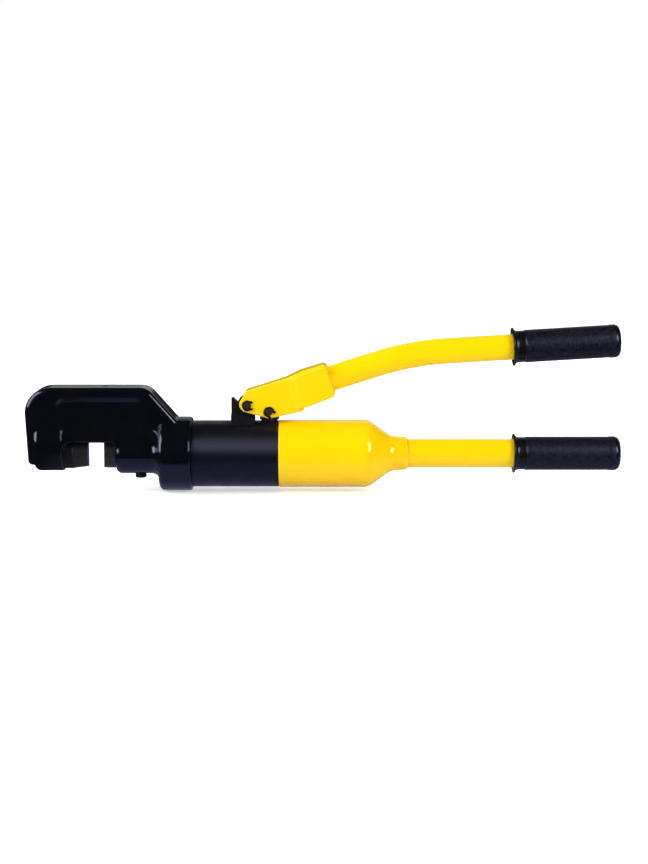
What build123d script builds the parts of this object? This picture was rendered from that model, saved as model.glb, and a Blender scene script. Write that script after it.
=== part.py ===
from build123d import *
from math import cos, pi, radians, sin, sqrt, tan
import os

# Hand-pumped hydraulic rebar cutter for bars up to 22 mm, in millimetres.
# X is the ram axis, Y = 0 is the shear plane and Z is up. The origin is the point where
# the ram axis meets the cutting edge of the fixed blade. The ram is drawn part way out
# and the pump lever is drawn closed.

# Fits shared by all pieces
FIT = 0.05  # play of screwed, pressed and seated pieces, on the radius
RUN = 0.08  # play of a piece that slides or turns in a bore, on the radius
AIR = 0.5  # air between pieces that pass without touching

# Bar throat and blades
FIXED_BLADE_REACH = 24.2  # left jaw face to the fixed cutting edge
FIXED_BLADE_LENGTH = 14.7
BLADE_OPENING = 14.5  # between the cutting edges, as drawn
MOVING_BLADE_REACH = 13.1  # ram boss face to the moving cutting edge, as drawn
SHEAR_GAP = 0.3  # between the two blades across the shear plane
HOLDER_STEP = 0.5  # blade holder over the rod, on the radius
HOLDER_SEAT = 15.0  # depth of the holder's seat in the left jaw
BLADE_STEP = 0.3  # blade under its holder, on the radius
BLADE_TAPER = 1.8  # blade's fall in radius from root to edge
BLADE_RELIEF = 11.0  # length of the half cut away beside the shear plane
TENON_LENGTH = 4.0
TENON_WIDTH = 13.0
TENON_HEIGHT = 17.0
TONGUE_SETBACK = 3.6  # ram tongue behind the moving cutting edge
BLADE_EDGE = 0.4  # broken edge of the blade holder and of the tongue
THROAT_ROOF = 12.9  # roof over the ram axis, half of a 22 mm bar and a touch more
ROOF_RADIUS_LEFT = 10.0
ROOF_RADIUS_RIGHT = 6.0

# Ram
ROD_RADIUS = 14.5
BORE_RADIUS = 25.0
PISTON_LENGTH = 20.0
RAM_RETRACT = 12.0  # travel back from the drawn place
RAM_ADVANCE = 16.0  # travel forward from the drawn place
SEAL_WIDTH = 6.0
SEAL_DEPTH = 3.5
BACKUP_WIDTH = 2.0
SEAL_SETBACK = 6.0  # piston's rear face to the seal groove
KEYWAY_DEPTH = 4.0
KEYWAY_LAND = 0.7  # rod left between the moving blade's tail and the keyway
SPRING_WIRE_RADIUS = 2.2
SPRING_TURNS = 7
SPRING_ROOM = 2.9  # rod surface to the inside of the spring

# Cutter head
JAW_WALL = 38.5  # left end of the head, at its top, to the jaw face
HEAD_TOP = 67.9  # top of the head over the ram axis
PLATE_HALF = 18.0  # half thickness of the head's C plate
PLATE_EDGE = 5.0  # rounding of its outer edge
JAW_EDGE = 2.5  # rounding of the throat's edge
TOP_FRONT_RADIUS = 25.5
TOP_BACK_RADIUS = 17.0
BACK_SLOPE = 48.7  # slope of the head's back, degrees
BACK_FOOT = 16.2  # collar face to the foot of that slope
LEFT_DRAFT = 3.8  # lean of the left end over its height
LEFT_FOOT = 9.6  # bottom of the left end under the ram axis
JAW_BOSS_INSET = 8.8  # left end to the boss round the fixed blade
JAW_BOSS_HALF = 22.0  # half its width at its widest
JAW_BOSS_DROP = 17.2  # bottom of that boss under the ram axis
JAW_BOSS_WAIST = 8.0  # its widest place over the ram axis
JAW_BOSS_CROWN = 40.0  # radius by which its cheeks curve in above that place
JAW_BOSS_LEAN = 40.0  # their inward lean where they end inside the plate, degrees
JAW_BOSS_NOSE = 6.0  # rounding of its left end
JAW_BOSS_EDGE = 2.0
RAM_BOSS_LENGTH = 43.7
BOSS_WALL = 3.0  # metal between the bush and the ram boss's outside
BOSS_NOSE = 5.5  # rounding of the ram boss's front edge
BOSS_ROOT = 9.0  # hollow between the ram boss and the collar
COLLAR_LENGTH = 32.4
COLLAR_WALL = 6.95
COLLAR_FLOOR = 7.0
COLLAR_FRONT_EDGE = 5.0
COLLAR_BACK_EDGE = 2.5
WEB_DEPTH = 4.2  # sunk panel in the C plate, at its top
WEB_TOP = 57.5
WEB_HEIGHT = 38.0
WEB_INSET_LEFT = 30.6  # left end of the head to the panel
WEB_LENGTH = 90.3
WEB_CORNER = 7.0
WEB_FOOT = 4.0  # hollow along the foot of the panel's walls
WEB_WALL_LEAN = 42.0  # slope of the panel's walls, degrees
LIFT_HOLE_X = 17.5
LIFT_HOLE_RADIUS = 2.5  # tapping size of an M6 hole
LIFT_HOLE_DEPTH = 14.0
HOLE_CHAMFER = 0.6
BUSH_WALL = 2.4
BUSH_LAND = 2.0  # guide screw to the bush
WIPER_SETBACK = 1.2
WIPER_WIDTH = 3.5
WIPER_WALL = 2.2

# Screws
GUIDE_SETBACK = 23.8  # ram boss face to the guide screw
GUIDE_RADIUS = 3.0
GUIDE_HEAD_RADIUS = 5.5
GUIDE_HEAD_HEIGHT = 4.6
GUIDE_SOCKET = 5.0  # across flats
BLADE_SCREW_RADIUS = 4.0
BLADE_SCREW_HEAD = 6.5
BLADE_SCREW_HEAD_LENGTH = 8.0
BLADE_SCREW_SOCKET = 6.0
BLADE_SCREW_BRIDGE = 6.5  # jaw metal between the screw's head and the holder
TAIL_SCREW_RADIUS = 3.0
TAIL_SCREW_HEAD = 5.4
TAIL_SCREW_SOCKET = 4.0
TAIL_SCREW_HEIGHT = 3.5
TAIL_SCREW_GRIP = 8.0

# Cylinder barrel and pump block
BARREL_LENGTH = 86.3
BARREL_WALL = 8.2
SPIGOT_WALL = 5.0
SPIGOT_GAP = 1.7
BARREL_EDGE = 0.8
PUMP_BLOCK = 27.3  # bottom of the ram bore to the rear shoulder
TAIL_STEP = 4.2  # rear thread under the barrel, on the radius
TAIL_LENGTH = 14.0
NOSE_RADIUS = 21.0  # seat of the oil bladder
NOSE_LENGTH = 12.0
PORT_RADIUS = 1.5
VALVE_RADIUS = 4.5
BALL_RADIUS = 3.0
VALVE_DROP = 4.0  # pump floor to the valve line
SEAT_LENGTH = 9.0
SUCTION_ROOM = 6.5  # pocket beyond the suction ball
DISCHARGE_WALL = 1.2  # pump bore to the discharge pocket
DISCHARGE_PLUG = 2.2
RELIEF_Y = -12.0
RELIEF_Z = 10.0
RELIEF_SETBACK = 30.8  # nose's end to the relief seat
RELIEF_SPRING = 12.0
RELIEF_SCREW = 10.0
RELIEF_SOCKET = 4.0
VALVE_WIRE = 0.35  # radius of the small springs' wire
VALVE_TURNS = 4
RELEASE_SETBACK = 11.5  # bottom of the ram bore to the release spindle
RELEASE_SEAT = 14.5  # seat's distance from the ram axis
RELEASE_RADIUS = 4.0
RELEASE_THREAD = 9.0
STEM_RADIUS = 3.0
KNOB_RADIUS = 11.0
KNOB_LENGTH = 13.0
KNOB_GAP = 2.2  # barrel to the knob, room to turn shut
KNOB_FLUTES = 14
FLUTE_RADIUS = 1.6
KNOB_EDGE = 1.2
KNOB_CAP = 4.0
RELEASE_GAP = 0.1
RELEASE_PORT_DROP = 2.5

# Reservoir, bladder and fixed handle
RESERVOIR_STEP = 0.4  # reservoir over the barrel, on the radius
RESERVOIR_WALL = 2.6
RESERVOIR_LENGTH = 89.6
RESERVOIR_EDGE = 1.2
SHOULDER_RADIUS = 15.0
CONE_LENGTH = 22.6
NECK_WALL = 3.0
NECK_TAPER = 1.1
NECK_LENGTH = 16.3
NECK_EDGE = 2.0
NECK_ROOT = 15.0
STOP_LIP = 2.0
STOP_THICKNESS = 1.2
O_RING_RADIUS = 1.2
BLADDER_AIR = 1.5
BLADDER_WALL = 2.0
BLADDER_SHOULDER = 8.0
BLADDER_DOME = 16.0
BLADDER_BEND = 1.0  # inside radius of its neck's bends
FILLER_RADIUS = 4.0
FILLER_HEAD = 6.5
FILLER_LENGTH = 3.0
CLAMP_WALL = 1.5
CLAMP_WIDTH = 6.0
FIXED_TUBE_RADIUS = 14.3
LEVER_TUBE_RADIUS = 12.8
TUBE_WALL = 2.5
HANDLE_LENGTH = 105.5  # neck to the fixed grip

# Rubber grips
GRIP_LENGTH = 106.4
FIXED_GRIP_WALL = 2.4
LEVER_GRIP_WALL = 3.4
GRIP_END = 5.0
GUARD_RISE = 3.0  # hand guard over the grip
GUARD_WIDTH = 1.8
GUARD_ROOT = 3.0
CUFF_LENGTH = 11.5  # guard to the ridge
CUFF_SINK = 0.4
RIDGE_WIDTH = 1.6
BAND_LENGTH = 10.5
BAND_RISE = 0.3
GRIP_CORNER = 5.5

# Pump lever linkage
PIVOT_SETBACK = 30.9  # barrel's rear shoulder to the lever pivot
PIVOT_RISE = 16.3  # barrel to the lever pivot
CRANK = 22.4  # lever pivot to plunger pin
CRANK_DROP = 16.3  # slope of that line with the lever closed, degrees
LEVER_LIFT = 40.0  # full swing of the lever, degrees
PIN_RADIUS = 3.5
PIN_STAND = 2.2  # pin end beyond the yoke's cheek
PIN_CHAMFER = 0.5
RING_THICKNESS = 0.9
RING_WALL = 1.9
RING_GROOVE = 0.6
RING_GAP = 62.0  # opening of a retaining ring, degrees
RING_EAR_TURN = 9.0
PIVOT_RING_OPENING = 0.0  # where the rings' gaps point, degrees
PLUNGER_RING_OPENING = -42.0
PLUNGER_RADIUS = 4.0
PLUNGER_HEAD = 10.0  # radius of the head's foot
PLUNGER_FOOT = 2.4
PLUNGER_RISE = 1.2  # barrel to the foot of the plunger's head
PLUNGER_LAND = 2.7  # plunger left below its seal at full lift
PUMP_FLOOR_GAP = 1.5
TONGUE_HALF = 5.5
SLOT_PLAY = 0.35
EYE_WALL = 3.0
STOP_GAP = 0.4
GLAND_WALL = 1.95
GLAND_LENGTH = 15.7
GLAND_HEX_LAND = 0.8
GLAND_SEAL = 4.0
SPOT_DEPTH = 3.5

# Lever bracket
LUG_HALF = 5.5
LUG_EYE_RADIUS = 10.2
BRACKET_HALF = 13.0
BRACKET_FRONT = 16.3  # bracket's front to the pivot
BRACKET_BACK = 7.1  # pivot to the bracket's back
POST_RISE = 6.9  # stop post over the pivot
POST_WIDTH = 3.4
POST_TIP = 2.0
POST_FALL = 3.4
LUG_DROP = 9.7  # lug's back corner under the pivot
SADDLE_DROP_FRONT = 8.1  # saddle's top edge under the pivot
SADDLE_DROP_BACK = 13.7

# Lever yoke, tube and socket, measured along and across the lever from the pivot
LEVER_ANGLE = 17.6  # slope of the closed lever, degrees
YOKE_HALF = 12.0
YOKE_TOP = 14.3
YOKE_NOSE = 8.9
YOKE_NOSE_RADIUS = 6.5
YOKE_BROW = 3.2  # start of the top edge
YOKE_NOSE_RISE = 3.4
YOKE_BROW_RADIUS = 3.0
YOKE_CHIN = 6.0
YOKE_CHIN_DROP = 4.2
YOKE_CHIN_RADIUS = 4.0
YOKE_BELLY = 18.9
YOKE_BELLY_AT = 16.5
YOKE_BELLY_RADIUS = 9.0
SKIRT_DROP = 22.4
SKIRT_END = 53.1
TOP_BEVEL = 1.0
LOWER_BEVEL = 1.2
SLOT_ROOF = 11.0
SLOT_SIDE = 0.7  # play between the lug and a cheek
SLOT_END_GAP = 2.0  # slot beyond the plunger head's swing
FLARE_START = 45.0
SOCKET_START = 52.5
SOCKET_FULL = 61.0
SOCKET_END = 86.5
SOCKET_HALF = 16.5
SOCKET_TOP = 16.5
SOCKET_DROP = 18.8
SOCKET_TAPER = 1.6  # rise of the socket's bottom towards its mouth
SOCKET_BEVEL = 3.2
SOCKET_LOWER_BEVEL = 1.5
SOCKET_ROUND = 2.2
TUBE_RISE = -0.2
TUBE_SEAT = 50.0
TUBE_APEX = 170.7
TUBE_AFTER = 206.6
TUBE_BEND = 14.2
TUBE_BEND_RADIUS = 290.0

# Stations along the ram axis
jaw_left = -FIXED_BLADE_REACH
jaw_right = BLADE_OPENING + MOVING_BLADE_REACH
head_left = jaw_left - JAW_WALL
holder_back = jaw_left - HOLDER_SEAT
holder_front = -FIXED_BLADE_LENGTH
collar_front = jaw_right + RAM_BOSS_LENGTH
collar_floor = collar_front + COLLAR_FLOOR
collar_back = collar_front + COLLAR_LENGTH
barrel_back = collar_back + BARREL_LENGTH
bore_bottom = barrel_back - PUMP_BLOCK
piston_back = bore_bottom - RAM_RETRACT - AIR
piston_front = piston_back - PISTON_LENGTH
guide_x = jaw_right + GUIDE_SETBACK
bush_front = guide_x + GUIDE_RADIUS + BUSH_LAND
keyway_front = guide_x - RAM_RETRACT - GUIDE_RADIUS - AIR
keyway_back = guide_x + RAM_ADVANCE + GUIDE_RADIUS + AIR
blade_tail = keyway_front - KEYWAY_LAND
tongue_front = BLADE_OPENING + TONGUE_SETBACK
tail_screw_x = (tongue_front + blade_tail) / 2
blade_screw_seat = holder_back - BLADE_SCREW_BRIDGE
blade_screw_tip = -BLADE_RELIEF - AIR
seal_back = piston_back - SEAL_SETBACK
seal_front = seal_back - SEAL_WIDTH - BACKUP_WIDTH
spigot_front = collar_floor + SPIGOT_GAP
tail_end = barrel_back + TAIL_LENGTH
o_ring_x = (barrel_back + tail_end) / 2
nose_end = tail_end + NOSE_LENGTH
cone_start = barrel_back + RESERVOIR_LENGTH
neck_start = cone_start + CONE_LENGTH
neck_end = neck_start + NECK_LENGTH
tube_stop = neck_start + STOP_THICKNESS
fixed_grip_start = neck_end + HANDLE_LENGTH
fixed_grip_end = fixed_grip_start + GRIP_LENGTH

# Radii about the ram axis
holder_radius = ROD_RADIUS + HOLDER_STEP
line_bore = holder_radius + FIT
blade_root = holder_radius - BLADE_STEP
bush_radius = ROD_RADIUS + RUN + BUSH_WALL
boss_radius = bush_radius + FIT + BOSS_WALL
spigot_radius = BORE_RADIUS + SPIGOT_WALL
collar_radius = spigot_radius + FIT + COLLAR_WALL
barrel_radius = BORE_RADIUS + BARREL_WALL
tail_radius = barrel_radius - TAIL_STEP
tail_bore = tail_radius + FIT
reservoir_radius = barrel_radius + RESERVOIR_STEP
reservoir_bore = reservoir_radius - RESERVOIR_WALL
neck_bore = FIXED_TUBE_RADIUS + FIT
neck_radius = neck_bore + NECK_WALL
piston_radius = BORE_RADIUS - RUN
groove_radius = piston_radius - SEAL_DEPTH
moving_radius = ROD_RADIUS - FIT
tail_screw_seat = sqrt(moving_radius**2 - TAIL_SCREW_HEAD**2) - AIR - TAIL_SCREW_HEIGHT
keyway_floor = KEYWAY_DEPTH - ROD_RADIUS
guide_seat = AIR - boss_radius
groove_half = O_RING_RADIUS + FIT
bladder_radius = reservoir_bore - BLADDER_AIR
bladder_end = cone_start

# Lever and plunger places
pivot_x = barrel_back - PIVOT_SETBACK
pivot_z = barrel_radius + PIVOT_RISE
pin_sweep = max(CRANK_DROP, LEVER_LIFT - CRANK_DROP)
pin_travel = CRANK * (1 - cos(radians(pin_sweep)))
pump_x = pivot_x + CRANK - pin_travel / 2
pin_x = pivot_x + CRANK * cos(radians(CRANK_DROP))
pin_z = pivot_z - CRANK * sin(radians(CRANK_DROP))
plunger_stroke = CRANK * (sin(radians(LEVER_LIFT - CRANK_DROP)) + sin(radians(CRANK_DROP)))
head_bottom = barrel_radius + PLUNGER_RISE
gland_radius = PLUNGER_RADIUS + RUN + GLAND_WALL
gland_flats = gland_radius + GLAND_HEX_LAND
gland_corner = gland_flats * 2 / sqrt(3)
spot_z = barrel_radius - SPOT_DEPTH
gland_bottom = spot_z - GLAND_LENGTH
seal_bottom = gland_bottom - GLAND_SEAL
plunger_bottom = seal_bottom - plunger_stroke - PLUNGER_LAND
pump_floor = plunger_bottom - PUMP_FLOOR_GAP
valve_z = pump_floor - VALVE_DROP
slot_half = LUG_HALF + SLOT_SIDE
slot_end = CRANK + PLUNGER_HEAD + SLOT_END_GAP
ring_inner = PIN_RADIUS - RING_GROOVE
pin_end = YOKE_HALF + PIN_STAND
ring_start = YOKE_HALF + STOP_GAP

# Valve pockets
seat_offset = sqrt((BALL_RADIUS + FIT) ** 2 - PORT_RADIUS**2)
suction_seat = nose_end - SEAT_LENGTH
suction_floor = suction_seat - seat_offset - BALL_RADIUS - SUCTION_ROOM
discharge_seat = pump_x - PLUNGER_RADIUS - RUN - DISCHARGE_WALL
relief_seat = nose_end - RELIEF_SETBACK
release_x = bore_bottom + RELEASE_SETBACK
release_ball_y = RELEASE_SEAT + seat_offset
spindle_start = release_ball_y + BALL_RADIUS
knob_start = barrel_radius + KNOB_GAP
knob_end = knob_start + KNOB_LENGTH

lever_frame = Pos(pivot_x, 0, pivot_z) * Rot(0, -LEVER_ANGLE, 0)


def bar_x(radius, start, end, y=0.0, z=0.0):
    """Round bar along X."""
    return Pos((start + end) / 2, y, z) * Rot(0, 90, 0) * Cylinder(radius, end - start)


def bar_y(radius, start, end, x=0.0, z=0.0):
    """Round bar along Y."""
    return Pos(x, (start + end) / 2, z) * Rot(90, 0, 0) * Cylinder(radius, end - start)


def bar_z(radius, start, end, x=0.0, y=0.0):
    """Round bar along Z."""
    return Pos(x, y, (start + end) / 2) * Cylinder(radius, end - start)


def block(x_range, y_range, z_range):
    """Box between two stations on each axis."""
    spans = (x_range, y_range, z_range)
    middle = [(low + high) / 2 for low, high in spans]
    return Pos(*middle) * Box(*[high - low for low, high in spans])


def ring_x(inner, outer, start, end):
    """Plain ring about the ram axis."""
    return bar_x(outer, start, end) - bar_x(inner, start, end)


def outline(corners, plane=Plane.XZ):
    """Face on a plane from (x, y, radius) corners, each rounded by its own radius."""
    points = [(x, y) for x, y, _ in corners]
    radii = [radius for _, _, radius in corners]
    return plane * make_face(FilletPolyline(*points, radius=radii, close=True))


def turned(corners):
    """Solid of revolution about X from (station, radius, rounding) corners."""
    return revolve(outline(corners), Axis.X)


def both_sides(shape):
    """A shape and its mirror image across the shear plane."""
    return shape + mirror(shape, Plane.XZ)


def hex_socket(flats, depth):
    """Hexagon key socket, cut downwards from the origin."""
    return extrude(RegularPolygon(flats / 2, 6, major_radius=False), -depth)


def cap_screw(radius, grip_length, head_radius, head_height, socket):
    """Socket screw along Z, with its head above the origin and its shank below."""
    head = bar_z(head_radius, 0, head_height)
    head = chamfer(head.faces().sort_by(Axis.Z)[-1].edges(), HOLE_CHAMFER)
    body = head + bar_z(radius, -grip_length, 0)
    return body - Pos(0, 0, head_height) * hex_socket(socket, head_height / 2)


def coil_spring(mean_radius, wire_radius, start, end, turns):
    """Round-wire spring along X, swept along two arcs for each quarter turn."""
    lead = (end - start - 2 * wire_radius) / turns
    quarter = pi / 2

    def place(step):
        angle = step * quarter
        height = start + wire_radius + lead * step / 4
        return Vector(height, mean_radius * cos(angle), mean_radius * sin(angle))

    def heading(step):
        angle = step * quarter
        rise = lead / (2 * pi)
        return Vector(rise, -mean_radius * sin(angle), mean_radius * cos(angle)).normalized()

    edges = []
    for step in range(4 * turns):
        near, far = place(step), place(step + 1)
        leave, arrive = heading(step), heading(step + 1)
        chord, both = far - near, leave + arrive
        a, b, c = both.dot(both) - 4, -2 * chord.dot(both), chord.dot(chord)
        reach = (-b - sqrt(b * b - 4 * a * c)) / (2 * a)
        first, second = near + leave * reach, far - arrive * reach
        middle = (first + second) * 0.5
        edges.append(Edge.make_tangent_arc(near, leave, middle))
        edges.append(Edge.make_tangent_arc(middle, second - first, far))
    section = Plane(origin=place(0), z_dir=heading(0)) * Circle(wire_radius)
    return sweep(section, path=Wire(edges))


# Cutter head and fixed blade


def head_plate():
    """C-shaped plate of the head with its rounded outer edge, before the throat is cut."""
    run = 1 / tan(radians(BACK_SLOPE))
    slope_foot = collar_front + BACK_FOOT + collar_radius * run
    slope_end = collar_back - COLLAR_WALL
    face = outline(
        [
            (head_left + LEFT_DRAFT, -LEFT_FOOT, PLATE_EDGE),
            (head_left, HEAD_TOP, TOP_FRONT_RADIUS),
            (slope_foot - HEAD_TOP * run, HEAD_TOP, TOP_BACK_RADIUS),
            (slope_end, (slope_foot - slope_end) / run, 0),
            (slope_end, 0, 0),
            (0, -LEFT_FOOT, 0),
        ]
    )
    plate = extrude(face, PLATE_HALF, both=True)
    return fillet(plate.faces().filter_by(Axis.Y).edges(), PLATE_EDGE)


def throat():
    """Bar throat through the plate, open below."""
    face = outline(
        [
            (jaw_left, THROAT_ROOF, ROOF_RADIUS_LEFT),
            (jaw_right, THROAT_ROOF, ROOF_RADIUS_RIGHT),
            (jaw_right, -HEAD_TOP, 0),
            (jaw_left, -HEAD_TOP, 0),
        ]
    )
    return extrude(face, JAW_BOSS_HALF + AIR, both=True)


def sunk_panel():
    """Tapered panel sunk in the near cheek, deepest along its top edge and fading out below."""
    slope = Vector(0, -WEB_HEIGHT, WEB_DEPTH).normalized()
    middle = head_left + WEB_INSET_LEFT + WEB_LENGTH / 2
    floor = Plane(origin=(middle, WEB_DEPTH - PLATE_HALF, WEB_TOP), x_dir=(1, 0, 0), z_dir=slope)
    inset = WEB_DEPTH * tan(radians(WEB_WALL_LEAN))
    face = Pos(0, -inset - WEB_HEIGHT / 2) * RectangleRounded(
        WEB_LENGTH - 2 * inset, WEB_HEIGHT, WEB_CORNER
    )
    panel = extrude(floor * face, 2 * WEB_DEPTH, taper=-WEB_WALL_LEAN)
    return fillet(panel.faces().sort_by(Axis.Y)[-1].edges(), WEB_FOOT)


def jaw_boss():
    """Boss round the fixed blade: round below, with cheeks that curve into the plate above."""
    left = head_left + JAW_BOSS_INSET
    inner = JAW_BOSS_HALF - JAW_BOSS_CROWN
    depth = JAW_BOSS_WAIST + JAW_BOSS_DROP
    belly = EllipticalCenterArc((0, JAW_BOSS_WAIST), JAW_BOSS_HALF, depth, 180, arc_size=180)
    near = CenterArc((inner, JAW_BOSS_WAIST), JAW_BOSS_CROWN, 0, JAW_BOSS_LEAN)
    far = CenterArc((-inner, JAW_BOSS_WAIST), JAW_BOSS_CROWN, 180 - JAW_BOSS_LEAN, JAW_BOSS_LEAN)
    section = make_face([belly, near, Line(near @ 1, far @ 0), far])
    boss = extrude(Plane.YZ.offset(left) * section, jaw_left - left)
    ends = boss.faces().sort_by(Axis.X)
    boss = fillet(ends[0].edges(), JAW_BOSS_NOSE)
    return fillet(boss.faces().sort_by(Axis.X)[-1].edges(), JAW_BOSS_EDGE)


def ram_boss():
    """Ram boss and collar, with hollows that run from the plate's cheeks into the collar."""
    barrel = turned(
        [
            (jaw_right, 0, 0),
            (jaw_right, boss_radius, BOSS_NOSE),
            (collar_front, boss_radius, BOSS_ROOT),
            (collar_front, collar_radius, COLLAR_FRONT_EDGE),
            (collar_back, collar_radius, COLLAR_BACK_EDGE),
            (collar_back, 0, 0),
        ]
    )
    half_plan = [
        (collar_front - BOSS_ROOT - AIR, PLATE_HALF, 0),
        (collar_front, PLATE_HALF, BOSS_ROOT),
        (collar_front, collar_radius, 0),
        (collar_front + 2 * COLLAR_FRONT_EDGE, collar_radius, 0),
    ]
    far_plan = [(x, -y, radius) for x, y, radius in reversed(half_plan)]
    hollows = extrude(outline(half_plan + far_plan, Plane.XY), collar_radius)
    return barrel + (hollows & bar_x(collar_radius - COLLAR_FRONT_EDGE, jaw_right, collar_back))


def cutter_head():
    """Forged head: C plate, two bosses and the collar, bored in one line for blade and ram."""
    plate = head_plate() - throat() - both_sides(sunk_panel())
    roof = [
        e
        for e in plate.edges().filter_by_position(Axis.Z, 0, THROAT_ROOF + FIT)
        if abs(abs(e.center().Y) - PLATE_HALF) < FIT and jaw_left < e.center().X < jaw_right
    ]
    body = fillet(roof, JAW_EDGE) + jaw_boss() + ram_boss()
    body -= bar_x(line_bore, holder_back, bush_front)
    body -= bar_x(bush_radius + FIT, bush_front, collar_floor)
    body -= bar_x(spigot_radius + FIT, collar_floor, collar_back)
    wiper_front = jaw_right + WIPER_SETBACK
    body -= bar_x(ROD_RADIUS + RUN + WIPER_WALL + FIT, wiper_front, wiper_front + WIPER_WIDTH)
    body -= bar_x(BLADE_SCREW_RADIUS + FIT, head_left, holder_back)
    body -= bar_x(BLADE_SCREW_HEAD + AIR, head_left, blade_screw_seat)
    body -= bar_z(GUIDE_RADIUS + FIT, -boss_radius, 0, guide_x)
    body -= bar_z(GUIDE_HEAD_RADIUS + AIR, -collar_radius, guide_seat, guide_x)
    hole = bar_z(LIFT_HOLE_RADIUS, HEAD_TOP - LIFT_HOLE_DEPTH, HEAD_TOP, LIFT_HOLE_X)
    mouth = Cone(LIFT_HOLE_RADIUS, LIFT_HOLE_RADIUS + HOLE_CHAMFER, HOLE_CHAMFER)
    return body - hole - Pos(LIFT_HOLE_X, 0, HEAD_TOP - HOLE_CHAMFER / 2) * mouth


def tenon(play):
    """Square tenon between the fixed blade and its holder."""
    half_width = TENON_WIDTH / 2 + play
    half_height = TENON_HEIGHT / 2 + play
    back = holder_front - TENON_LENGTH - play
    return block((back, holder_front), (-half_width, half_width), (-half_height, half_height))


def fixed_blade_holder():
    """Round holder seated in the left jaw."""
    body = turned(
        [
            (holder_back, 0, 0),
            (holder_back, holder_radius, BARREL_EDGE),
            (holder_front, holder_radius, BLADE_EDGE),
            (holder_front, 0, 0),
        ]
    )
    return body - tenon(FIT) - bar_x(BLADE_SCREW_RADIUS + FIT, holder_back, holder_front)


def fixed_blade():
    """Tapered half-round blade on a tenon, cut away beyond the shear plane."""
    tip = blade_root - BLADE_TAPER
    body = turned([(holder_front, 0, 0), (holder_front, blade_root, 0), (0, tip, 0), (0, 0, 0)])
    body += tenon(0)
    body -= block((-BLADE_RELIEF, AIR), (-SHEAR_GAP / 2, blade_root), (-blade_root, blade_root))
    return body - bar_x(BLADE_SCREW_RADIUS + FIT, holder_front - TENON_LENGTH, blade_screw_tip)


def fixed_blade_screw():
    """Socket screw through the left jaw and the holder into the fixed blade."""
    grip_length = blade_screw_tip - AIR - blade_screw_seat
    screw = cap_screw(
        BLADE_SCREW_RADIUS, grip_length, BLADE_SCREW_HEAD, BLADE_SCREW_HEAD_LENGTH, BLADE_SCREW_SOCKET
    )
    return Pos(blade_screw_seat) * Rot(0, -90, 0) * screw


def guide_screw():
    """Cap screw under the ram boss, whose tip runs in the rod's keyway."""
    grip_length = keyway_floor - RUN - guide_seat
    screw = cap_screw(GUIDE_RADIUS, grip_length, GUIDE_HEAD_RADIUS, GUIDE_HEAD_HEIGHT, GUIDE_SOCKET)
    return Pos(guide_x, 0, guide_seat) * Rot(180, 0, 0) * screw


def rod_bush():
    """Bronze bush that guides the rod in the ram boss."""
    return ring_x(ROD_RADIUS + RUN, bush_radius, bush_front, collar_floor)


def rod_wiper():
    """Rubber wiper at the mouth of the ram boss."""
    front = jaw_right + WIPER_SETBACK
    return ring_x(ROD_RADIUS + RUN, ROD_RADIUS + RUN + WIPER_WALL, front, front + WIPER_WIDTH)


# Ram and moving blade


def far_half(start, end):
    """Space on the far side of the shear plane between two stations."""
    return block((start, end), (SHEAR_GAP / 2, holder_radius), (-holder_radius, holder_radius))


def ram():
    """Piston and rod in one piece, with a flat tongue for the moving blade."""
    body = turned(
        [
            (tongue_front, 0, 0),
            (tongue_front, ROD_RADIUS, BLADE_EDGE),
            (piston_front, ROD_RADIUS, 0),
            (piston_front, piston_radius, BARREL_EDGE),
            (seal_front, piston_radius, 0),
            (seal_front, groove_radius, 0),
            (seal_back, groove_radius, 0),
            (seal_back, piston_radius, 0),
            (piston_back, piston_radius, BARREL_EDGE),
            (piston_back, 0, 0),
        ]
    )
    body -= far_half(tongue_front, blade_tail)
    half_width = GUIDE_RADIUS + RUN
    front, back = keyway_front + half_width, keyway_back - half_width
    body -= block((front, back), (-half_width, half_width), (-holder_radius, keyway_floor))
    for end in (front, back):
        body -= bar_z(half_width, -holder_radius, keyway_floor, end)
    return body - bar_y(TAIL_SCREW_RADIUS + FIT, -TAIL_SCREW_GRIP - AIR, holder_radius, tail_screw_x)


def piston_seal():
    """Rubber pressure seal in the piston's groove."""
    return ring_x(groove_radius, piston_radius, seal_front + BACKUP_WIDTH, seal_back)


def piston_backup_ring():
    """Hard ring that backs the seal on its low-pressure side."""
    return ring_x(groove_radius, piston_radius, seal_front, seal_front + BACKUP_WIDTH)


def moving_blade():
    """Half-round blade screwed to the far side of the ram's tongue."""
    body = bar_x(moving_radius, BLADE_OPENING, blade_tail) & far_half(BLADE_OPENING, blade_tail)
    body -= bar_y(TAIL_SCREW_RADIUS + FIT, 0, holder_radius, tail_screw_x)
    return body - bar_y(TAIL_SCREW_HEAD + FIT, tail_screw_seat, holder_radius, tail_screw_x)


def moving_blade_screw():
    """Low-head screw that holds the moving blade."""
    grip_length = tail_screw_seat + TAIL_SCREW_GRIP
    screw = cap_screw(
        TAIL_SCREW_RADIUS, grip_length, TAIL_SCREW_HEAD, TAIL_SCREW_HEIGHT, TAIL_SCREW_SOCKET
    )
    return Pos(tail_screw_x, tail_screw_seat) * Rot(-90, 0, 0) * screw


def return_spring():
    """Spring round the rod that draws the ram back."""
    mean = ROD_RADIUS + SPRING_ROOM + SPRING_WIRE_RADIUS
    return coil_spring(mean, SPRING_WIRE_RADIUS, collar_floor, piston_front, SPRING_TURNS)


# Cylinder barrel, pump block and valves


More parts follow.
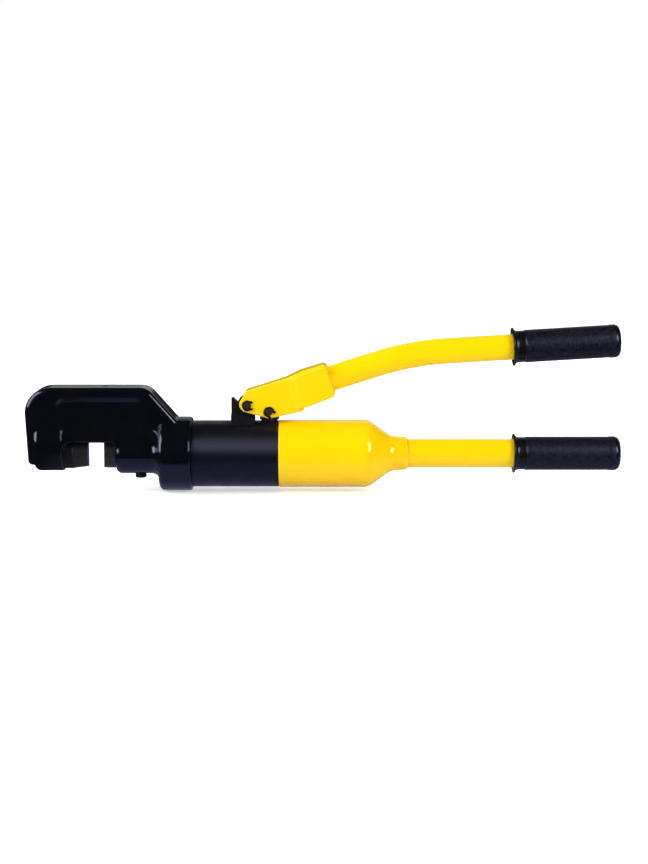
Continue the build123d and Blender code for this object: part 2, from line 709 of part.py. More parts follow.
def cylinder_barrel():
    """Ram cylinder and pump block in one bar, with its pump bore and valve pockets."""
    body = turned(
        [
            (spigot_front, BORE_RADIUS, 0),
            (spigot_front, spigot_radius, BARREL_EDGE),
            (collar_back, spigot_radius, 0),
            (collar_back, barrel_radius, BARREL_EDGE),
            (barrel_back, barrel_radius, BARREL_EDGE),
            (barrel_back, tail_radius, 0),
            (tail_end, tail_radius, BARREL_EDGE),
            (tail_end, NOSE_RADIUS, 0),
            (nose_end, NOSE_RADIUS, BARREL_EDGE),
            (nose_end, 0, 0),
            (bore_bottom, 0, 0),
            (bore_bottom, BORE_RADIUS, 0),
        ]
    )
    groove_floor = tail_bore - 2 * O_RING_RADIUS
    body -= ring_x(groove_floor, tail_bore, o_ring_x - groove_half, o_ring_x + groove_half)
    body -= bar_z(gland_corner + AIR, spot_z, collar_radius, pump_x)
    body -= bar_z(gland_radius + FIT, seal_bottom, barrel_radius, pump_x)
    body -= bar_z(PLUNGER_RADIUS + RUN, pump_floor, barrel_radius, pump_x)
    body -= bar_z(PORT_RADIUS, valve_z, pump_floor, pump_x)
    body -= bar_x(PORT_RADIUS, discharge_seat, suction_floor, 0, valve_z)
    body -= bar_x(VALVE_RADIUS, suction_floor, nose_end, 0, valve_z)
    body -= bar_x(VALVE_RADIUS, bore_bottom, discharge_seat, 0, valve_z)
    body -= bar_x(PORT_RADIUS, bore_bottom, relief_seat, RELIEF_Y, RELIEF_Z)
    body -= bar_x(VALVE_RADIUS, relief_seat, nose_end, RELIEF_Y, RELIEF_Z)
    body -= bar_x(PORT_RADIUS, bore_bottom, release_x, RELEASE_SEAT - RELEASE_PORT_DROP)
    body -= bar_y(PORT_RADIUS, RELEASE_SEAT - RELEASE_PORT_DROP, RELEASE_SEAT, release_x)
    body -= bar_y(RELEASE_RADIUS + RUN, RELEASE_SEAT, barrel_radius, release_x)
    return body - bar_x(PORT_RADIUS, release_x, nose_end, release_ball_y)


def valve_spring(start, end, y, z):
    """Small spring behind a valve ball."""
    mean = BALL_RADIUS - 2 * VALVE_WIRE
    return Pos(0, y, z) * coil_spring(mean, VALVE_WIRE, start, end, VALVE_TURNS)


def valve_screw(start, end, y, z):
    """Hollow screw that closes a valve pocket."""
    return bar_x(VALVE_RADIUS - FIT, start, end, y, z) - bar_x(PORT_RADIUS, start, end, y, z)


def suction_seat_screw():
    """Hollow seat of the suction valve, open to the oil."""
    return valve_screw(suction_seat, nose_end, 0, valve_z)


def suction_ball():
    """Ball held on the suction seat."""
    return Pos(suction_seat - seat_offset, 0, valve_z) * Sphere(BALL_RADIUS)


def suction_spring():
    """Spring of the suction valve."""
    return valve_spring(suction_floor, suction_seat - seat_offset - BALL_RADIUS, 0, valve_z)


def discharge_plug():
    """Hollow plug that keeps the discharge valve in its pocket."""
    return valve_screw(bore_bottom, bore_bottom + DISCHARGE_PLUG, 0, valve_z)


def discharge_ball():
    """Ball that keeps the pumped oil behind the ram."""
    return Pos(discharge_seat - seat_offset, 0, valve_z) * Sphere(BALL_RADIUS)


def discharge_spring():
    """Spring of the discharge valve."""
    end = discharge_seat - seat_offset - BALL_RADIUS
    return valve_spring(bore_bottom + DISCHARGE_PLUG, end, 0, valve_z)


def relief_ball():
    """Ball of the overload valve."""
    return Pos(relief_seat + seat_offset, RELIEF_Y, RELIEF_Z) * Sphere(BALL_RADIUS)


def relief_spring():
    """Spring that sets the overload pressure."""
    start = relief_seat + seat_offset + BALL_RADIUS
    return valve_spring(start, start + RELIEF_SPRING, RELIEF_Y, RELIEF_Z)


def relief_screw():
    """Adjusting screw of the overload valve."""
    start = relief_seat + seat_offset + BALL_RADIUS + RELIEF_SPRING
    end = start + RELIEF_SCREW
    socket = Pos(end, RELIEF_Y, RELIEF_Z) * Rot(0, 90, 0) * hex_socket(RELIEF_SOCKET, RELIEF_SCREW / 2)
    return valve_screw(start, end, RELIEF_Y, RELIEF_Z) - socket


def release_ball():
    """Ball that the release spindle holds shut."""
    return Pos(release_x, release_ball_y) * Sphere(BALL_RADIUS)


def release_spindle():
    """Screwed spindle of the release valve, with a stem for the knob."""
    thread_end = spindle_start + RELEASE_THREAD
    body = bar_y(RELEASE_RADIUS, spindle_start + RELEASE_GAP, thread_end, release_x)
    return body + bar_y(STEM_RADIUS, thread_end, knob_end - KNOB_CAP, release_x)


def release_knob():
    """Fluted knob on the spindle's stem."""
    body = fillet(bar_y(KNOB_RADIUS, knob_start, knob_end).edges(), KNOB_EDGE)
    flute = bar_y(FLUTE_RADIUS, knob_start, knob_end, KNOB_RADIUS)
    for step in range(KNOB_FLUTES):
        body -= Rot(0, 360 * step / KNOB_FLUTES, 0) * flute
    return Pos(release_x) * (body - bar_y(STEM_RADIUS + FIT, knob_start, knob_end - KNOB_CAP))


# Reservoir, bladder and fixed handle


def reservoir_shell():
    """Oil reservoir shell: straight barrel, cone and tapered neck for the handle."""
    stop_bore = FIXED_TUBE_RADIUS - STOP_LIP
    half_wall = RESERVOIR_WALL / 2
    return turned(
        [
            (barrel_back, tail_bore, 0),
            (barrel_back, reservoir_radius, RESERVOIR_EDGE),
            (cone_start, reservoir_radius, SHOULDER_RADIUS),
            (neck_start, neck_radius, NECK_ROOT),
            (neck_end, neck_radius - NECK_TAPER, NECK_EDGE),
            (neck_end, neck_bore, 0),
            (tube_stop, neck_bore, 0),
            (tube_stop, stop_bore, 0),
            (neck_start - half_wall, stop_bore, 0),
            (cone_start - half_wall, reservoir_bore, SHOULDER_RADIUS - RESERVOIR_WALL),
            (tail_end, reservoir_bore, 0),
            (tail_end, tail_bore, 0),
        ]
    )


def reservoir_o_ring():
    """O-ring between the barrel's tail and the reservoir."""
    section = O_RING_RADIUS - FIT / 2
    return Pos(o_ring_x) * Rot(0, 90, 0) * Torus(tail_bore - FIT - section, section)


def oil_bladder():
    """Rubber oil bladder, clamped on the barrel's nose and domed at its far end."""
    mouth = NOSE_RADIUS + FIT
    swell = nose_end + BLADDER_SHOULDER
    bladder_bore = bladder_radius - BLADDER_WALL
    return turned(
        [
            (tail_end + AIR, mouth, 0),
            (tail_end + AIR, mouth + BLADDER_WALL, 0),
            (nose_end, mouth + BLADDER_WALL, BLADDER_BEND),
            (swell, bladder_radius, BLADDER_BEND + BLADDER_WALL),
            (bladder_end - BLADDER_WALL, bladder_radius, BLADDER_DOME),
            (bladder_end, FILLER_HEAD + BLADDER_WALL, BLADDER_WALL),
            (bladder_end, FILLER_RADIUS + FIT, 0),
            (bladder_end - BLADDER_WALL, FILLER_RADIUS + FIT, 0),
            (bladder_end - 2 * BLADDER_WALL, bladder_bore, BLADDER_DOME - BLADDER_WALL),
            (swell + BLADDER_WALL, bladder_bore, BLADDER_BEND),
            (nose_end + BLADDER_WALL, mouth, BLADDER_BEND),
        ]
    )


def bladder_clamp():
    """Steel band that holds the bladder's mouth."""
    inner = NOSE_RADIUS + FIT + BLADDER_WALL + FIT
    middle = (tail_end + nose_end) / 2
    return ring_x(inner, inner + CLAMP_WALL, middle - CLAMP_WIDTH / 2, middle + CLAMP_WIDTH / 2)


def filler_plug():
    """Plug in the bladder's filling hole."""
    body = bar_x(FILLER_RADIUS, bladder_end - BLADDER_WALL, bladder_end)
    return body + bar_x(FILLER_HEAD, bladder_end, bladder_end + FILLER_LENGTH)


def fixed_handle_tube():
    """Steel tube seated in the reservoir's neck."""
    end = fixed_grip_end - GRIP_END
    return ring_x(FIXED_TUBE_RADIUS - TUBE_WALL, FIXED_TUBE_RADIUS, tube_stop, end)


def grip(tube_radius, wall):
    """Rubber grip along X from its hand guard, closed at its far end."""
    bore = tube_radius + FIT
    body = bore + wall
    ridge_end = CUFF_LENGTH + RIDGE_WIDTH
    band_start = GRIP_LENGTH - BAND_LENGTH
    return turned(
        [
            (0, bore, 0),
            (0, body + GUARD_RISE, GUARD_WIDTH / 3),
            (GUARD_WIDTH, body + GUARD_RISE, GUARD_WIDTH / 3),
            (GUARD_WIDTH, body - CUFF_SINK, GUARD_ROOT),
            (CUFF_LENGTH, body - CUFF_SINK, 0),
            (CUFF_LENGTH, body + BAND_RISE, 0),
            (ridge_end, body + BAND_RISE, 0),
            (ridge_end, body, 0),
            (band_start, body, 0),
            (band_start, body + BAND_RISE, 0),
            (GRIP_LENGTH, body + BAND_RISE, GRIP_CORNER),
            (GRIP_LENGTH, 0, 0),
            (GRIP_LENGTH - GRIP_END, 0, 0),
            (GRIP_LENGTH - GRIP_END, bore, 0),
        ]
    )


def fixed_grip():
    """Grip of the fixed handle."""
    return Pos(fixed_grip_start) * grip(FIXED_TUBE_RADIUS, FIXED_GRIP_WALL)


# Lever, plunger and bracket


def lever_bracket():
    """Bracket on the barrel: a saddle, and a lug with the pivot eye and a stop post."""
    front, back = pivot_x - BRACKET_FRONT, pivot_x + BRACKET_BACK
    saddle = make_face(
        Polyline(
            (front, 0),
            (front, pivot_z - SADDLE_DROP_FRONT),
            (back, pivot_z - SADDLE_DROP_BACK),
            (back, 0),
            close=True,
        )
    )
    post = make_face(
        Polyline(
            (front, 0),
            (front, pivot_z + POST_RISE),
            (front + POST_TIP, pivot_z + POST_RISE),
            (front + POST_WIDTH + POST_TIP, pivot_z + POST_RISE - POST_FALL),
            (pivot_x, pivot_z),
            (back, pivot_z - LUG_DROP),
            (back, 0),
            close=True,
        )
    )
    eye = Pos(pivot_x, pivot_z) * Circle(LUG_EYE_RADIUS)
    body = extrude(Plane.XZ * saddle, BRACKET_HALF, both=True)
    body += extrude(Plane.XZ * (post + eye), LUG_HALF, both=True)
    body -= bar_x(barrel_radius, front - AIR, pivot_x + CRANK)
    return body - bar_y(PIN_RADIUS + FIT, -LUG_HALF, LUG_HALF, pivot_x, pivot_z)


def linkage_pin(x, z):
    """Grooved pin across the yoke."""
    body = bar_y(PIN_RADIUS, -pin_end, pin_end, x, z)
    body = chamfer(body.edges(), PIN_CHAMFER)
    groove = bar_y(PIN_RADIUS, ring_start, ring_start + RING_THICKNESS, x, z)
    groove -= bar_y(ring_inner, ring_start, ring_start + RING_THICKNESS, x, z)
    return body - both_sides(groove)


def retaining_rings(x, z, opening):
    """Pair of open retaining rings on a pin, with an eared gap at a given angle."""
    outer = PIN_RADIUS + RING_WALL
    inner = ring_inner + FIT
    face = Circle(outer) - Circle(inner)
    face -= Rot(0, 0, -RING_GAP / 2) * make_face(
        Polyline(
            (0, 0),
            (2 * outer, 0),
            (2 * outer * cos(radians(RING_GAP)), 2 * outer * sin(radians(RING_GAP))),
            close=True,
        )
    )
    ear = (outer - inner) / 2
    for side in (-1, 1):
        angle = radians(side * (RING_GAP / 2 + RING_EAR_TURN))
        face += Pos(outer * cos(angle), outer * sin(angle)) * Circle(ear)
    ring = extrude(Plane.XZ * (Rot(0, 0, opening) * face), RING_THICKNESS)
    ring = Pos(x, -ring_start, z) * ring
    return Compound(children=[ring, mirror(ring, Plane.XZ)])


def pump_plunger():
    """Pump plunger with a flat-sided head, slotted for the plunger pin."""
    rod = bar_z(PLUNGER_RADIUS, plunger_bottom, head_bottom + PLUNGER_FOOT, pump_x)
    foot = bar_z(PLUNGER_HEAD, head_bottom, head_bottom + PLUNGER_FOOT, pump_x)
    foot = fillet(foot.faces().sort_by(Axis.Z)[0].edges(), PLUNGER_FOOT / 2)
    flats = (-TONGUE_HALF, TONGUE_HALF)
    foot &= block((pump_x - PLUNGER_HEAD, pump_x + PLUNGER_HEAD), flats, (head_bottom, pivot_z))
    slot_radius = PIN_RADIUS + SLOT_PLAY
    eye_radius = slot_radius + EYE_WALL
    spread = pin_travel + SLOT_PLAY
    stem_height = pin_z - head_bottom - PLUNGER_FOOT / 2
    eye = Rectangle(spread + 2 * eye_radius, stem_height, align=(Align.CENTER, Align.MAX))
    eye += SlotCenterToCenter(spread, 2 * eye_radius)
    eye -= SlotCenterToCenter(spread, 2 * slot_radius)
    head = extrude(Plane.XZ * (Pos(pump_x, pin_z) * eye), TONGUE_HALF, both=True)
    head &= block((pivot_x, pump_x + CRANK), flats, (head_bottom + PLUNGER_FOOT / 2, HEAD_TOP))
    return rod + foot + head


def plunger_gland():
    """Hexagon gland nut that guides the plunger."""
    top = head_bottom - STOP_GAP
    body = bar_z(gland_radius, gland_bottom, spot_z, pump_x)
    hexagon = Pos(pump_x, 0, spot_z) * RegularPolygon(gland_flats, 6, major_radius=False)
    body += extrude(hexagon, top - spot_z)
    return body - bar_z(PLUNGER_RADIUS + RUN, gland_bottom, top, pump_x)


def plunger_seal():
    """Rubber seal under the gland."""
    body = bar_z(gland_radius, seal_bottom, gland_bottom, pump_x)
    return body - bar_z(PLUNGER_RADIUS + RUN, seal_bottom, gland_bottom, pump_x)


def socket_section(station, half, top, drop, top_bevel, low_bevel):
    """Bevelled section of the lever socket at a station along the lever."""
    return Plane.YZ.offset(station) * make_face(
        Polyline(
            (-half, -drop + low_bevel),
            (-half + low_bevel, -drop),
            (half - low_bevel, -drop),
            (half, -drop + low_bevel),
            (half, top - top_bevel),
            (half - top_bevel, top),
            (-half + top_bevel, top),
            (-half, top - top_bevel),
            close=True,
        )
    )


def lever_yoke():
    """Cast yoke: two cheeks with a slot between them, flaring into a socket for the tube."""
    cheeks = outline(
        [
            (-YOKE_NOSE, YOKE_NOSE_RISE, YOKE_NOSE_RADIUS),
            (YOKE_BROW, YOKE_TOP, YOKE_BROW_RADIUS),
            (SKIRT_END, YOKE_TOP, 0),
            (SKIRT_END, -SKIRT_DROP, YOKE_BROW_RADIUS),
            (YOKE_BELLY_AT, -YOKE_BELLY, YOKE_BELLY_RADIUS),
            (-YOKE_CHIN, -YOKE_CHIN_DROP, YOKE_CHIN_RADIUS),
        ]
    )
    body = extrude(cheeks, YOKE_HALF, both=True)
    body = chamfer(body.faces().filter_by(Axis.Y).edges(), LOWER_BEVEL)
    bevelled = socket_section(-SKIRT_END, YOKE_HALF, YOKE_TOP, SKIRT_DROP, TOP_BEVEL, LOWER_BEVEL)
    body &= extrude(bevelled, 2 * SKIRT_END)
    start_top = (YOKE_TOP + SOCKET_TOP) / 2
    mouth_drop = SOCKET_DROP - SOCKET_TAPER
    bevels = (SOCKET_BEVEL, SOCKET_LOWER_BEVEL)
    mouth = (SOCKET_HALF, SOCKET_TOP, mouth_drop)
    sections = [
        socket_section(FLARE_START, YOKE_HALF, YOKE_TOP, SOCKET_DROP, TOP_BEVEL, LOWER_BEVEL),
        socket_section(SOCKET_START, SOCKET_HALF, start_top, SOCKET_DROP, *bevels),
        socket_section(SOCKET_FULL, SOCKET_HALF, SOCKET_TOP, SOCKET_DROP, *bevels),
        socket_section(SOCKET_END - SOCKET_ROUND, *mouth, *bevels),
        socket_section(SOCKET_END, *[size - SOCKET_ROUND for size in mouth], *bevels),
    ]
    body += loft(sections, ruled=True)
    body -= block((-SOCKET_END, slot_end), (-slot_half, slot_half), (-SOCKET_END, SLOT_ROOF))
    body -= bar_x(LEVER_TUBE_RADIUS + FIT, TUBE_SEAT, SOCKET_END, 0, TUBE_RISE)
    body -= bar_y(PIN_RADIUS + RUN, -YOKE_HALF, YOKE_HALF)
    body = lever_frame * body
    return body - bar_y(PIN_RADIUS + FIT, -YOKE_HALF, YOKE_HALF, pin_x, pin_z)


def lever_tube():
    """Bent steel tube of the pump lever."""
    bend = radians(TUBE_BEND)
    reach = TUBE_AFTER - GRIP_END
    end = (TUBE_APEX + reach * cos(bend), TUBE_RISE - reach * sin(bend))
    corners = [(TUBE_SEAT, TUBE_RISE), (TUBE_APEX, TUBE_RISE), end]
    path = FilletPolyline(*corners, radius=TUBE_BEND_RADIUS)
    section = Circle(LEVER_TUBE_RADIUS) - Circle(LEVER_TUBE_RADIUS - TUBE_WALL)
    start = Plane(origin=(TUBE_SEAT, 0, TUBE_RISE), z_dir=(1, 0, 0))
    return lever_frame * sweep(start * section, path=Plane.XZ * path)


def lever_grip():
    """Grip of the pump lever."""
    place = lever_frame * Pos(TUBE_APEX, 0, TUBE_RISE) * Rot(0, TUBE_BEND, 0)
    return place * Pos(TUBE_AFTER - GRIP_LENGTH) * grip(LEVER_TUBE_RADIUS, LEVER_GRIP_WALL)


def pivot_pin():
    """Pin of the lever pivot."""
    return linkage_pin(pivot_x, pivot_z)


def pivot_pin_rings():
    """Retaining rings of the pivot pin."""
    return retaining_rings(pivot_x, pivot_z, PIVOT_RING_OPENING)


def plunger_pin():
    """Pin between lever and plunger."""
    return linkage_pin(pin_x, pin_z)


def plunger_pin_rings():
    """Retaining rings of the plunger pin."""
    return retaining_rings(pin_x, pin_z, PLUNGER_RING_OPENING)


PIECES = [
    cutter_head,
    fixed_blade_holder,
    fixed_blade,
    fixed_blade_screw,
    guide_screw,
    rod_bush,
    rod_wiper,
    ram,
    piston_seal,
    piston_backup_ring,
    moving_blade,
    moving_blade_screw,
    return_spring,
    cylinder_barrel,
    suction_seat_screw,
    suction_ball,
    suction_spring,
    discharge_plug,
    discharge_ball,
    discharge_spring,
    relief_ball,
    relief_spring,
    relief_screw,
    release_ball,
    release_spindle,
    release_knob,
    reservoir_shell,
    reservoir_o_ring,
    oil_bladder,
    bladder_clamp,
    filler_plug,
    fixed_handle_tube,
    fixed_grip,
    lever_bracket,
    pivot_pin,
    pivot_pin_rings,
    pump_plunger,
    plunger_gland,
    plunger_seal,
    lever_yoke,
    lever_tube,
    lever_grip,
    plunger_pin,
    plunger_pin_rings,
]

os.makedirs("parts", exist_ok=True)
for piece in PIECES:
    export_step(piece(), f"parts/{piece.__name__}.step")
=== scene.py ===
"""Looks of a hand-pumped hydraulic rebar cutter, in metres, in the frame of its solids."""

import logging
import math
from dataclasses import dataclass, replace
from enum import Enum
from typing import Any, NamedTuple, Optional

import bmesh
import bpy
from mathutils import Matrix, Vector, noise


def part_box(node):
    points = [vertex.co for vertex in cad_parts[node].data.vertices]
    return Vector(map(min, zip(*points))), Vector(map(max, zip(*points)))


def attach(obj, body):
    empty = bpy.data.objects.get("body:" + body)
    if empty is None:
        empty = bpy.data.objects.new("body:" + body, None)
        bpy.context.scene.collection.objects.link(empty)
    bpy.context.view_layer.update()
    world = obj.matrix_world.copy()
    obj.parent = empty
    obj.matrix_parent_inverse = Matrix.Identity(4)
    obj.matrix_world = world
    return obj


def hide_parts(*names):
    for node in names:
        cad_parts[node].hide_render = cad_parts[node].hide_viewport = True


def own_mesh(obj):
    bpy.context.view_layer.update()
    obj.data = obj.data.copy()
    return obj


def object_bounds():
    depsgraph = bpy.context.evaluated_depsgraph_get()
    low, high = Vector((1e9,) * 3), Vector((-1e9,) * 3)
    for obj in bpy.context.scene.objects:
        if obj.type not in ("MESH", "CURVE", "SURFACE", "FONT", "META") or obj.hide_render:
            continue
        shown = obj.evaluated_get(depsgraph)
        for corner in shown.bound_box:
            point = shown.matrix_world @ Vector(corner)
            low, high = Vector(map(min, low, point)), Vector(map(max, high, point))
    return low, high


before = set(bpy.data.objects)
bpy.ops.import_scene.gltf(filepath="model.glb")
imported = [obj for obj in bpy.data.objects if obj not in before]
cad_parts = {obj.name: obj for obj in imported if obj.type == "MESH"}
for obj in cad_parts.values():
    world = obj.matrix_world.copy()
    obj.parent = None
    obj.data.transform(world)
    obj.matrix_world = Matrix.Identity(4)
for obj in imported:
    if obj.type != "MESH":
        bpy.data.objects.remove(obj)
CAD_BOX = [list(corner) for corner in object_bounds()]
LOG = logging.getLogger("rebar_cutter")
MM = 0.001
WHITE = "#FFFFFF"

Tree = bpy.types.NodeTree
Socket = bpy.types.NodeSocket
Ring = list[bmesh.types.BMVert]
Point = tuple[float, float, float]
Span = tuple[float, float]

# The sRGB curve: a straight foot up to the knee and a power above it.
SRGB_KNEE = 0.04045
SRGB_FOOT = 12.92
SRGB_SHIFT = 0.055
SRGB_POWER = 2.4

# Sockets of a Mix node, by number because their names repeat.
MIX_SHARE = 0
NUMBER_A, NUMBER_B, NUMBER_OUT = 2, 3, 0
COLOUR_A, COLOUR_B, COLOUR_OUT = 6, 7, 2


# Shared helpers


def linear(code: str) -> tuple[float, float, float, float]:
    """Turn an sRGB hex colour into a linear one.

    Args:
        code: the colour as "#RRGGBB".

    Returns:
        Red, green, blue and an alpha of one.
    """
    channels = [int(code[start : start + 2], 16) / 255 for start in (1, 3, 5)]
    red, green, blue = (
        value / SRGB_FOOT
        if value <= SRGB_KNEE
        else ((value + SRGB_SHIFT) / (1 + SRGB_SHIFT)) ** SRGB_POWER
        for value in channels
    )
    return red, green, blue, 1.0


def add_node(
    tree: Tree,
    kind: str,
    links: Optional[dict[Any, Socket]] = None,
    values: Optional[dict[Any, Any]] = None,
    **settings: Any,
) -> bpy.types.Node:
    """Add one shader node with its settings, values and links.

    Args:
        tree: the node tree that takes the node.
        kind: Blender's name of the node.
        links: output sockets by the input, named or numbered, that they feed.
        values: fixed values by input.
        settings: the node's own properties.

    Returns:
        The new node.
    """
    node = tree.nodes.new(kind)
    for name, value in settings.items():
        setattr(node, name, value)
    for key, value in (values or {}).items():
        node.inputs[key].default_value = value
    for key, socket in (links or {}).items():
        tree.links.new(socket, node.inputs[key])
    return node


def spoke(step: int, steps: int) -> Vector:
    """Direction square to X after some of the equal steps of one turn round it."""
    angle = 2 * math.pi * step / steps
    return Vector((0, math.cos(angle), math.sin(angle)))


def smooth_mesh(form: bmesh.types.BMesh, name: str) -> bpy.types.Mesh:
    """Make a smooth mesh of a closed form, with its faces turned outwards.

    Args:
        form: the form, which is freed.
        name: the mesh's name.

    Returns:
        The mesh.
    """
    bmesh.ops.recalc_face_normals(form, faces=form.faces)
    mesh = bpy.data.meshes.new(name)
    form.to_mesh(mesh)
    form.free()
    mesh.shade_smooth()
    return mesh


def new_piece(name: str, mesh: bpy.types.Mesh, body: str) -> bpy.types.Object:
    """Put a mesh into the scene as a piece that rides on a body.

    Args:
        name: the piece's name.
        mesh: its mesh, in the frame of the solids.
        body: the body that carries it.

    Returns:
        The piece.
    """
    piece = bpy.data.objects.new(name, mesh)
    bpy.context.scene.collection.objects.link(piece)
    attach(piece, body)
    return piece


# Finishes

# Settings that all finishes share.
PATCH_DETAIL = 5.0
PATCH_CRISPNESS = 0.6
PATCH_SPAN = (0.35, 0.65)  # noise at which a patch begins and is full
DRIFT_RATE = 2.3  # drifts of the roughness to a patch of the colour
DRIFT_DETAIL = 3.0
DRIFT_SPAN = (0.3, 0.7)  # noise at the least and the greatest roughness
WAVE_DETAIL = 2.0
EDGE_WEAR_AND_HIGHLIGHT_SPAN = (0.99, 0.8)  # cosine of an edge's turn at which the edge colour (wear, and on the yellow enamel a painted highlight) begins and is full
EDGE_SAMPLES = 4
ALONG_AXIS = 0.25  # quarter of a turn, from round the axis to along it


class Form(Enum):
    """Kinds of fine relief."""

    WAVY = "wavy"
    CELLS = "cells"


@dataclass(frozen=True)
class Relief:
    """One layer of fine relief on a surface.

    Attributes:
        size_mm: length of a bump along X, Y and Z.
        depth_mm: height from valley to crest.
        form: what the bumps look like.
    """

    size_mm: Point
    depth_mm: float
    form: Form = Form.WAVY


@dataclass(frozen=True)
class Finish:
    """A surface finish, made as one node material.

    Attributes:
        name: the material's common name and how its surface was made.
        colour: its colour as sRGB hex.
        tint: the colour of its patches.
        patch_mm: size of those patches.
        roughness: least and greatest roughness.
        metallic: 1 on bare metal.
        sheen: the colour of its reflections.
        ior: its refractive index, which sets how strong they are.
        turned: how far turning marks round X draw reflections out along it.
        edge_mm: rounding that light finds on its edges.
        edge: the colour of its edges, wear on most finishes and a painted highlight on the yellow
            enamel.
        edge_wear_and_highlight: how much of the edge takes the edge colour.
        reliefs: its layers of relief, coarse to fine.
    """

    name: str
    colour: str
    tint: str
    patch_mm: float
    roughness: Span
    metallic: float = 0.0
    sheen: str = WHITE
    ior: float = 1.5
    turned: float = 0.0
    edge_mm: float = 0.3
    edge: str = "#808080"
    edge_wear_and_highlight: float = 0.0
    reliefs: tuple[Relief, ...] = ()

    def material(self) -> bpy.types.Material:
        """Give the finish's material, made the first time that it is asked for.

        Returns:
            The material.
        """
        made = bpy.data.materials.get(self.name)
        if made:
            return made
        made = bpy.data.materials.new(self.name)
        made.use_nodes = True
        tree = made.node_tree
        shader = tree.nodes["Principled BSDF"].inputs
        shader["Metallic"].default_value = self.metallic
        shader["Specular Tint"].default_value = linear(self.sheen)
        shader["IOR"].default_value = self.ior
        if self.turned:
            marks = add_node(tree, "ShaderNodeTangent", direction_type="RADIAL", axis="X")
            tree.links.new(marks.outputs["Tangent"], shader["Tangent"])
            shader["Anisotropic"].default_value = self.turned
            shader["Anisotropic Rotation"].default_value = ALONG_AXIS
        place = add_node(tree, "ShaderNodeTexCoord").outputs["Object"]
        radius = self.edge_mm * MM
        rounded = add_node(
            tree, "ShaderNodeBevel", values={"Radius": radius}, samples=EDGE_SAMPLES
        ).outputs["Normal"]
        tree.links.new(self.colour_of(tree, place, rounded), shader["Base Color"])
        tree.links.new(self.roughness_of(tree, place), shader["Roughness"])
        tree.links.new(self.normal_of(tree, place, rounded), shader["Normal"])
        return made

    def colour_of(self, tree: Tree, place: Socket, rounded: Socket) -> Socket:
        """Draw the colour, with its patches and its edge colour: wear on most finishes, a painted
        highlight on the yellow enamel.

        Args:
            tree: the material's nodes.
            place: where on the piece a point is.
            rounded: the normal over the rounded edges.

        Returns:
            The colour's socket.
        """
        patches = add_node(
            tree,
            "ShaderNodeTexNoise",
            links={"Vector": place},
            values={
                "Scale": 1 / (self.patch_mm * MM),
                "Detail": PATCH_DETAIL,
                "Roughness": PATCH_CRISPNESS,
            },
        ).outputs["Fac"]
        share = add_node(
            tree,
            "ShaderNodeMapRange",
            links={"Value": patches},
            values={"From Min": PATCH_SPAN[0], "From Max": PATCH_SPAN[1]},
        ).outputs["Result"]
        body = add_node(
            tree,
            "ShaderNodeMix",
            links={MIX_SHARE: share},
            values={COLOUR_A: linear(self.colour), COLOUR_B: linear(self.tint)},
            data_type="RGBA",
        ).outputs[COLOUR_OUT]
        if not self.edge_wear_and_highlight:
            return body
        # Edges take the edge colour: worn metal or paint on most finishes, a painted highlight on
        # the yellow enamel.
        facing = add_node(tree, "ShaderNodeNewGeometry").outputs["Normal"]
        turn = add_node(
            tree, "ShaderNodeVectorMath", links={0: rounded, 1: facing}, operation="DOT_PRODUCT"
        ).outputs["Value"]
        worn_and_lit_edge = add_node(
            tree,
            "ShaderNodeMapRange",
            links={"Value": turn},
            values={"From Min": EDGE_WEAR_AND_HIGHLIGHT_SPAN[0], "From Max": EDGE_WEAR_AND_HIGHLIGHT_SPAN[1], "To Max": self.edge_wear_and_highlight},
        ).outputs["Result"]
        broken = add_node(
            tree, "ShaderNodeMath", links={0: worn_and_lit_edge, 1: patches}, operation="MULTIPLY"
        ).outputs["Value"]
        return add_node(
            tree,
            "ShaderNodeMix",
            links={MIX_SHARE: broken, COLOUR_A: body},
            values={COLOUR_B: linear(self.edge)},
            data_type="RGBA",
        ).outputs[COLOUR_OUT]

    def roughness_of(self, tree: Tree, place: Socket) -> Socket:
        """Draw the roughness, which drifts between its two limits.

        Args:
            tree: the material's nodes.
            place: where on the piece a point is.

        Returns:
            The roughness's socket.
        """
        drift = add_node(
            tree,
            "ShaderNodeTexNoise",
            links={"Vector": place},
            values={"Scale": DRIFT_RATE / (self.patch_mm * MM), "Detail": DRIFT_DETAIL},
        ).outputs["Fac"]
        return add_node(
            tree,
            "ShaderNodeMapRange",
            links={"Value": drift},
            values={
                "From Min": DRIFT_SPAN[0],
                "From Max": DRIFT_SPAN[1],
                "To Min": self.roughness[0],
                "To Max": self.roughness[1],
            },
        ).outputs["Result"]

    def normal_of(self, tree: Tree, place: Socket, rounded: Socket) -> Socket:
        """Draw the relief over the rounded edges.

        Args:
            tree: the material's nodes.
            place: where on the piece a point is.
            rounded: the normal over the rounded edges.

        Returns:
            The normal's socket.
        """
        normal = rounded
        for relief in self.reliefs:
            scale = tuple(1 / (size * MM) for size in relief.size_mm)
            spread = add_node(
                tree,
                "ShaderNodeVectorMath",
                links={0: place},
                values={1: scale},
                operation="MULTIPLY",
            ).outputs["Vector"]
            if relief.form is Form.CELLS:
                height = add_node(
                    tree, "ShaderNodeTexVoronoi", links={"Vector": spread}, values={"Scale": 1.0}
                ).outputs["Distance"]
            else:
                height = add_node(
                    tree,
                    "ShaderNodeTexNoise",
                    links={"Vector": spread},
                    values={"Scale": 1.0, "Detail": WAVE_DETAIL},
                ).outputs["Fac"]
            normal = add_node(
                tree,
                "ShaderNodeBump",
                links={"Height": height, "Normal": normal},
                values={"Distance": relief.depth_mm * MM},
            ).outputs["Normal"]
        return normal

    def on(self, *nodes: str) -> None:
        """Put the finish on solids, by name.

        Args:
            nodes: the names of the solids.
        """
        for name in nodes:
            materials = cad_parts[name].data.materials
            materials.clear()
            materials.append(self.material())
            LOG.info("%s: %s", name, self.name)


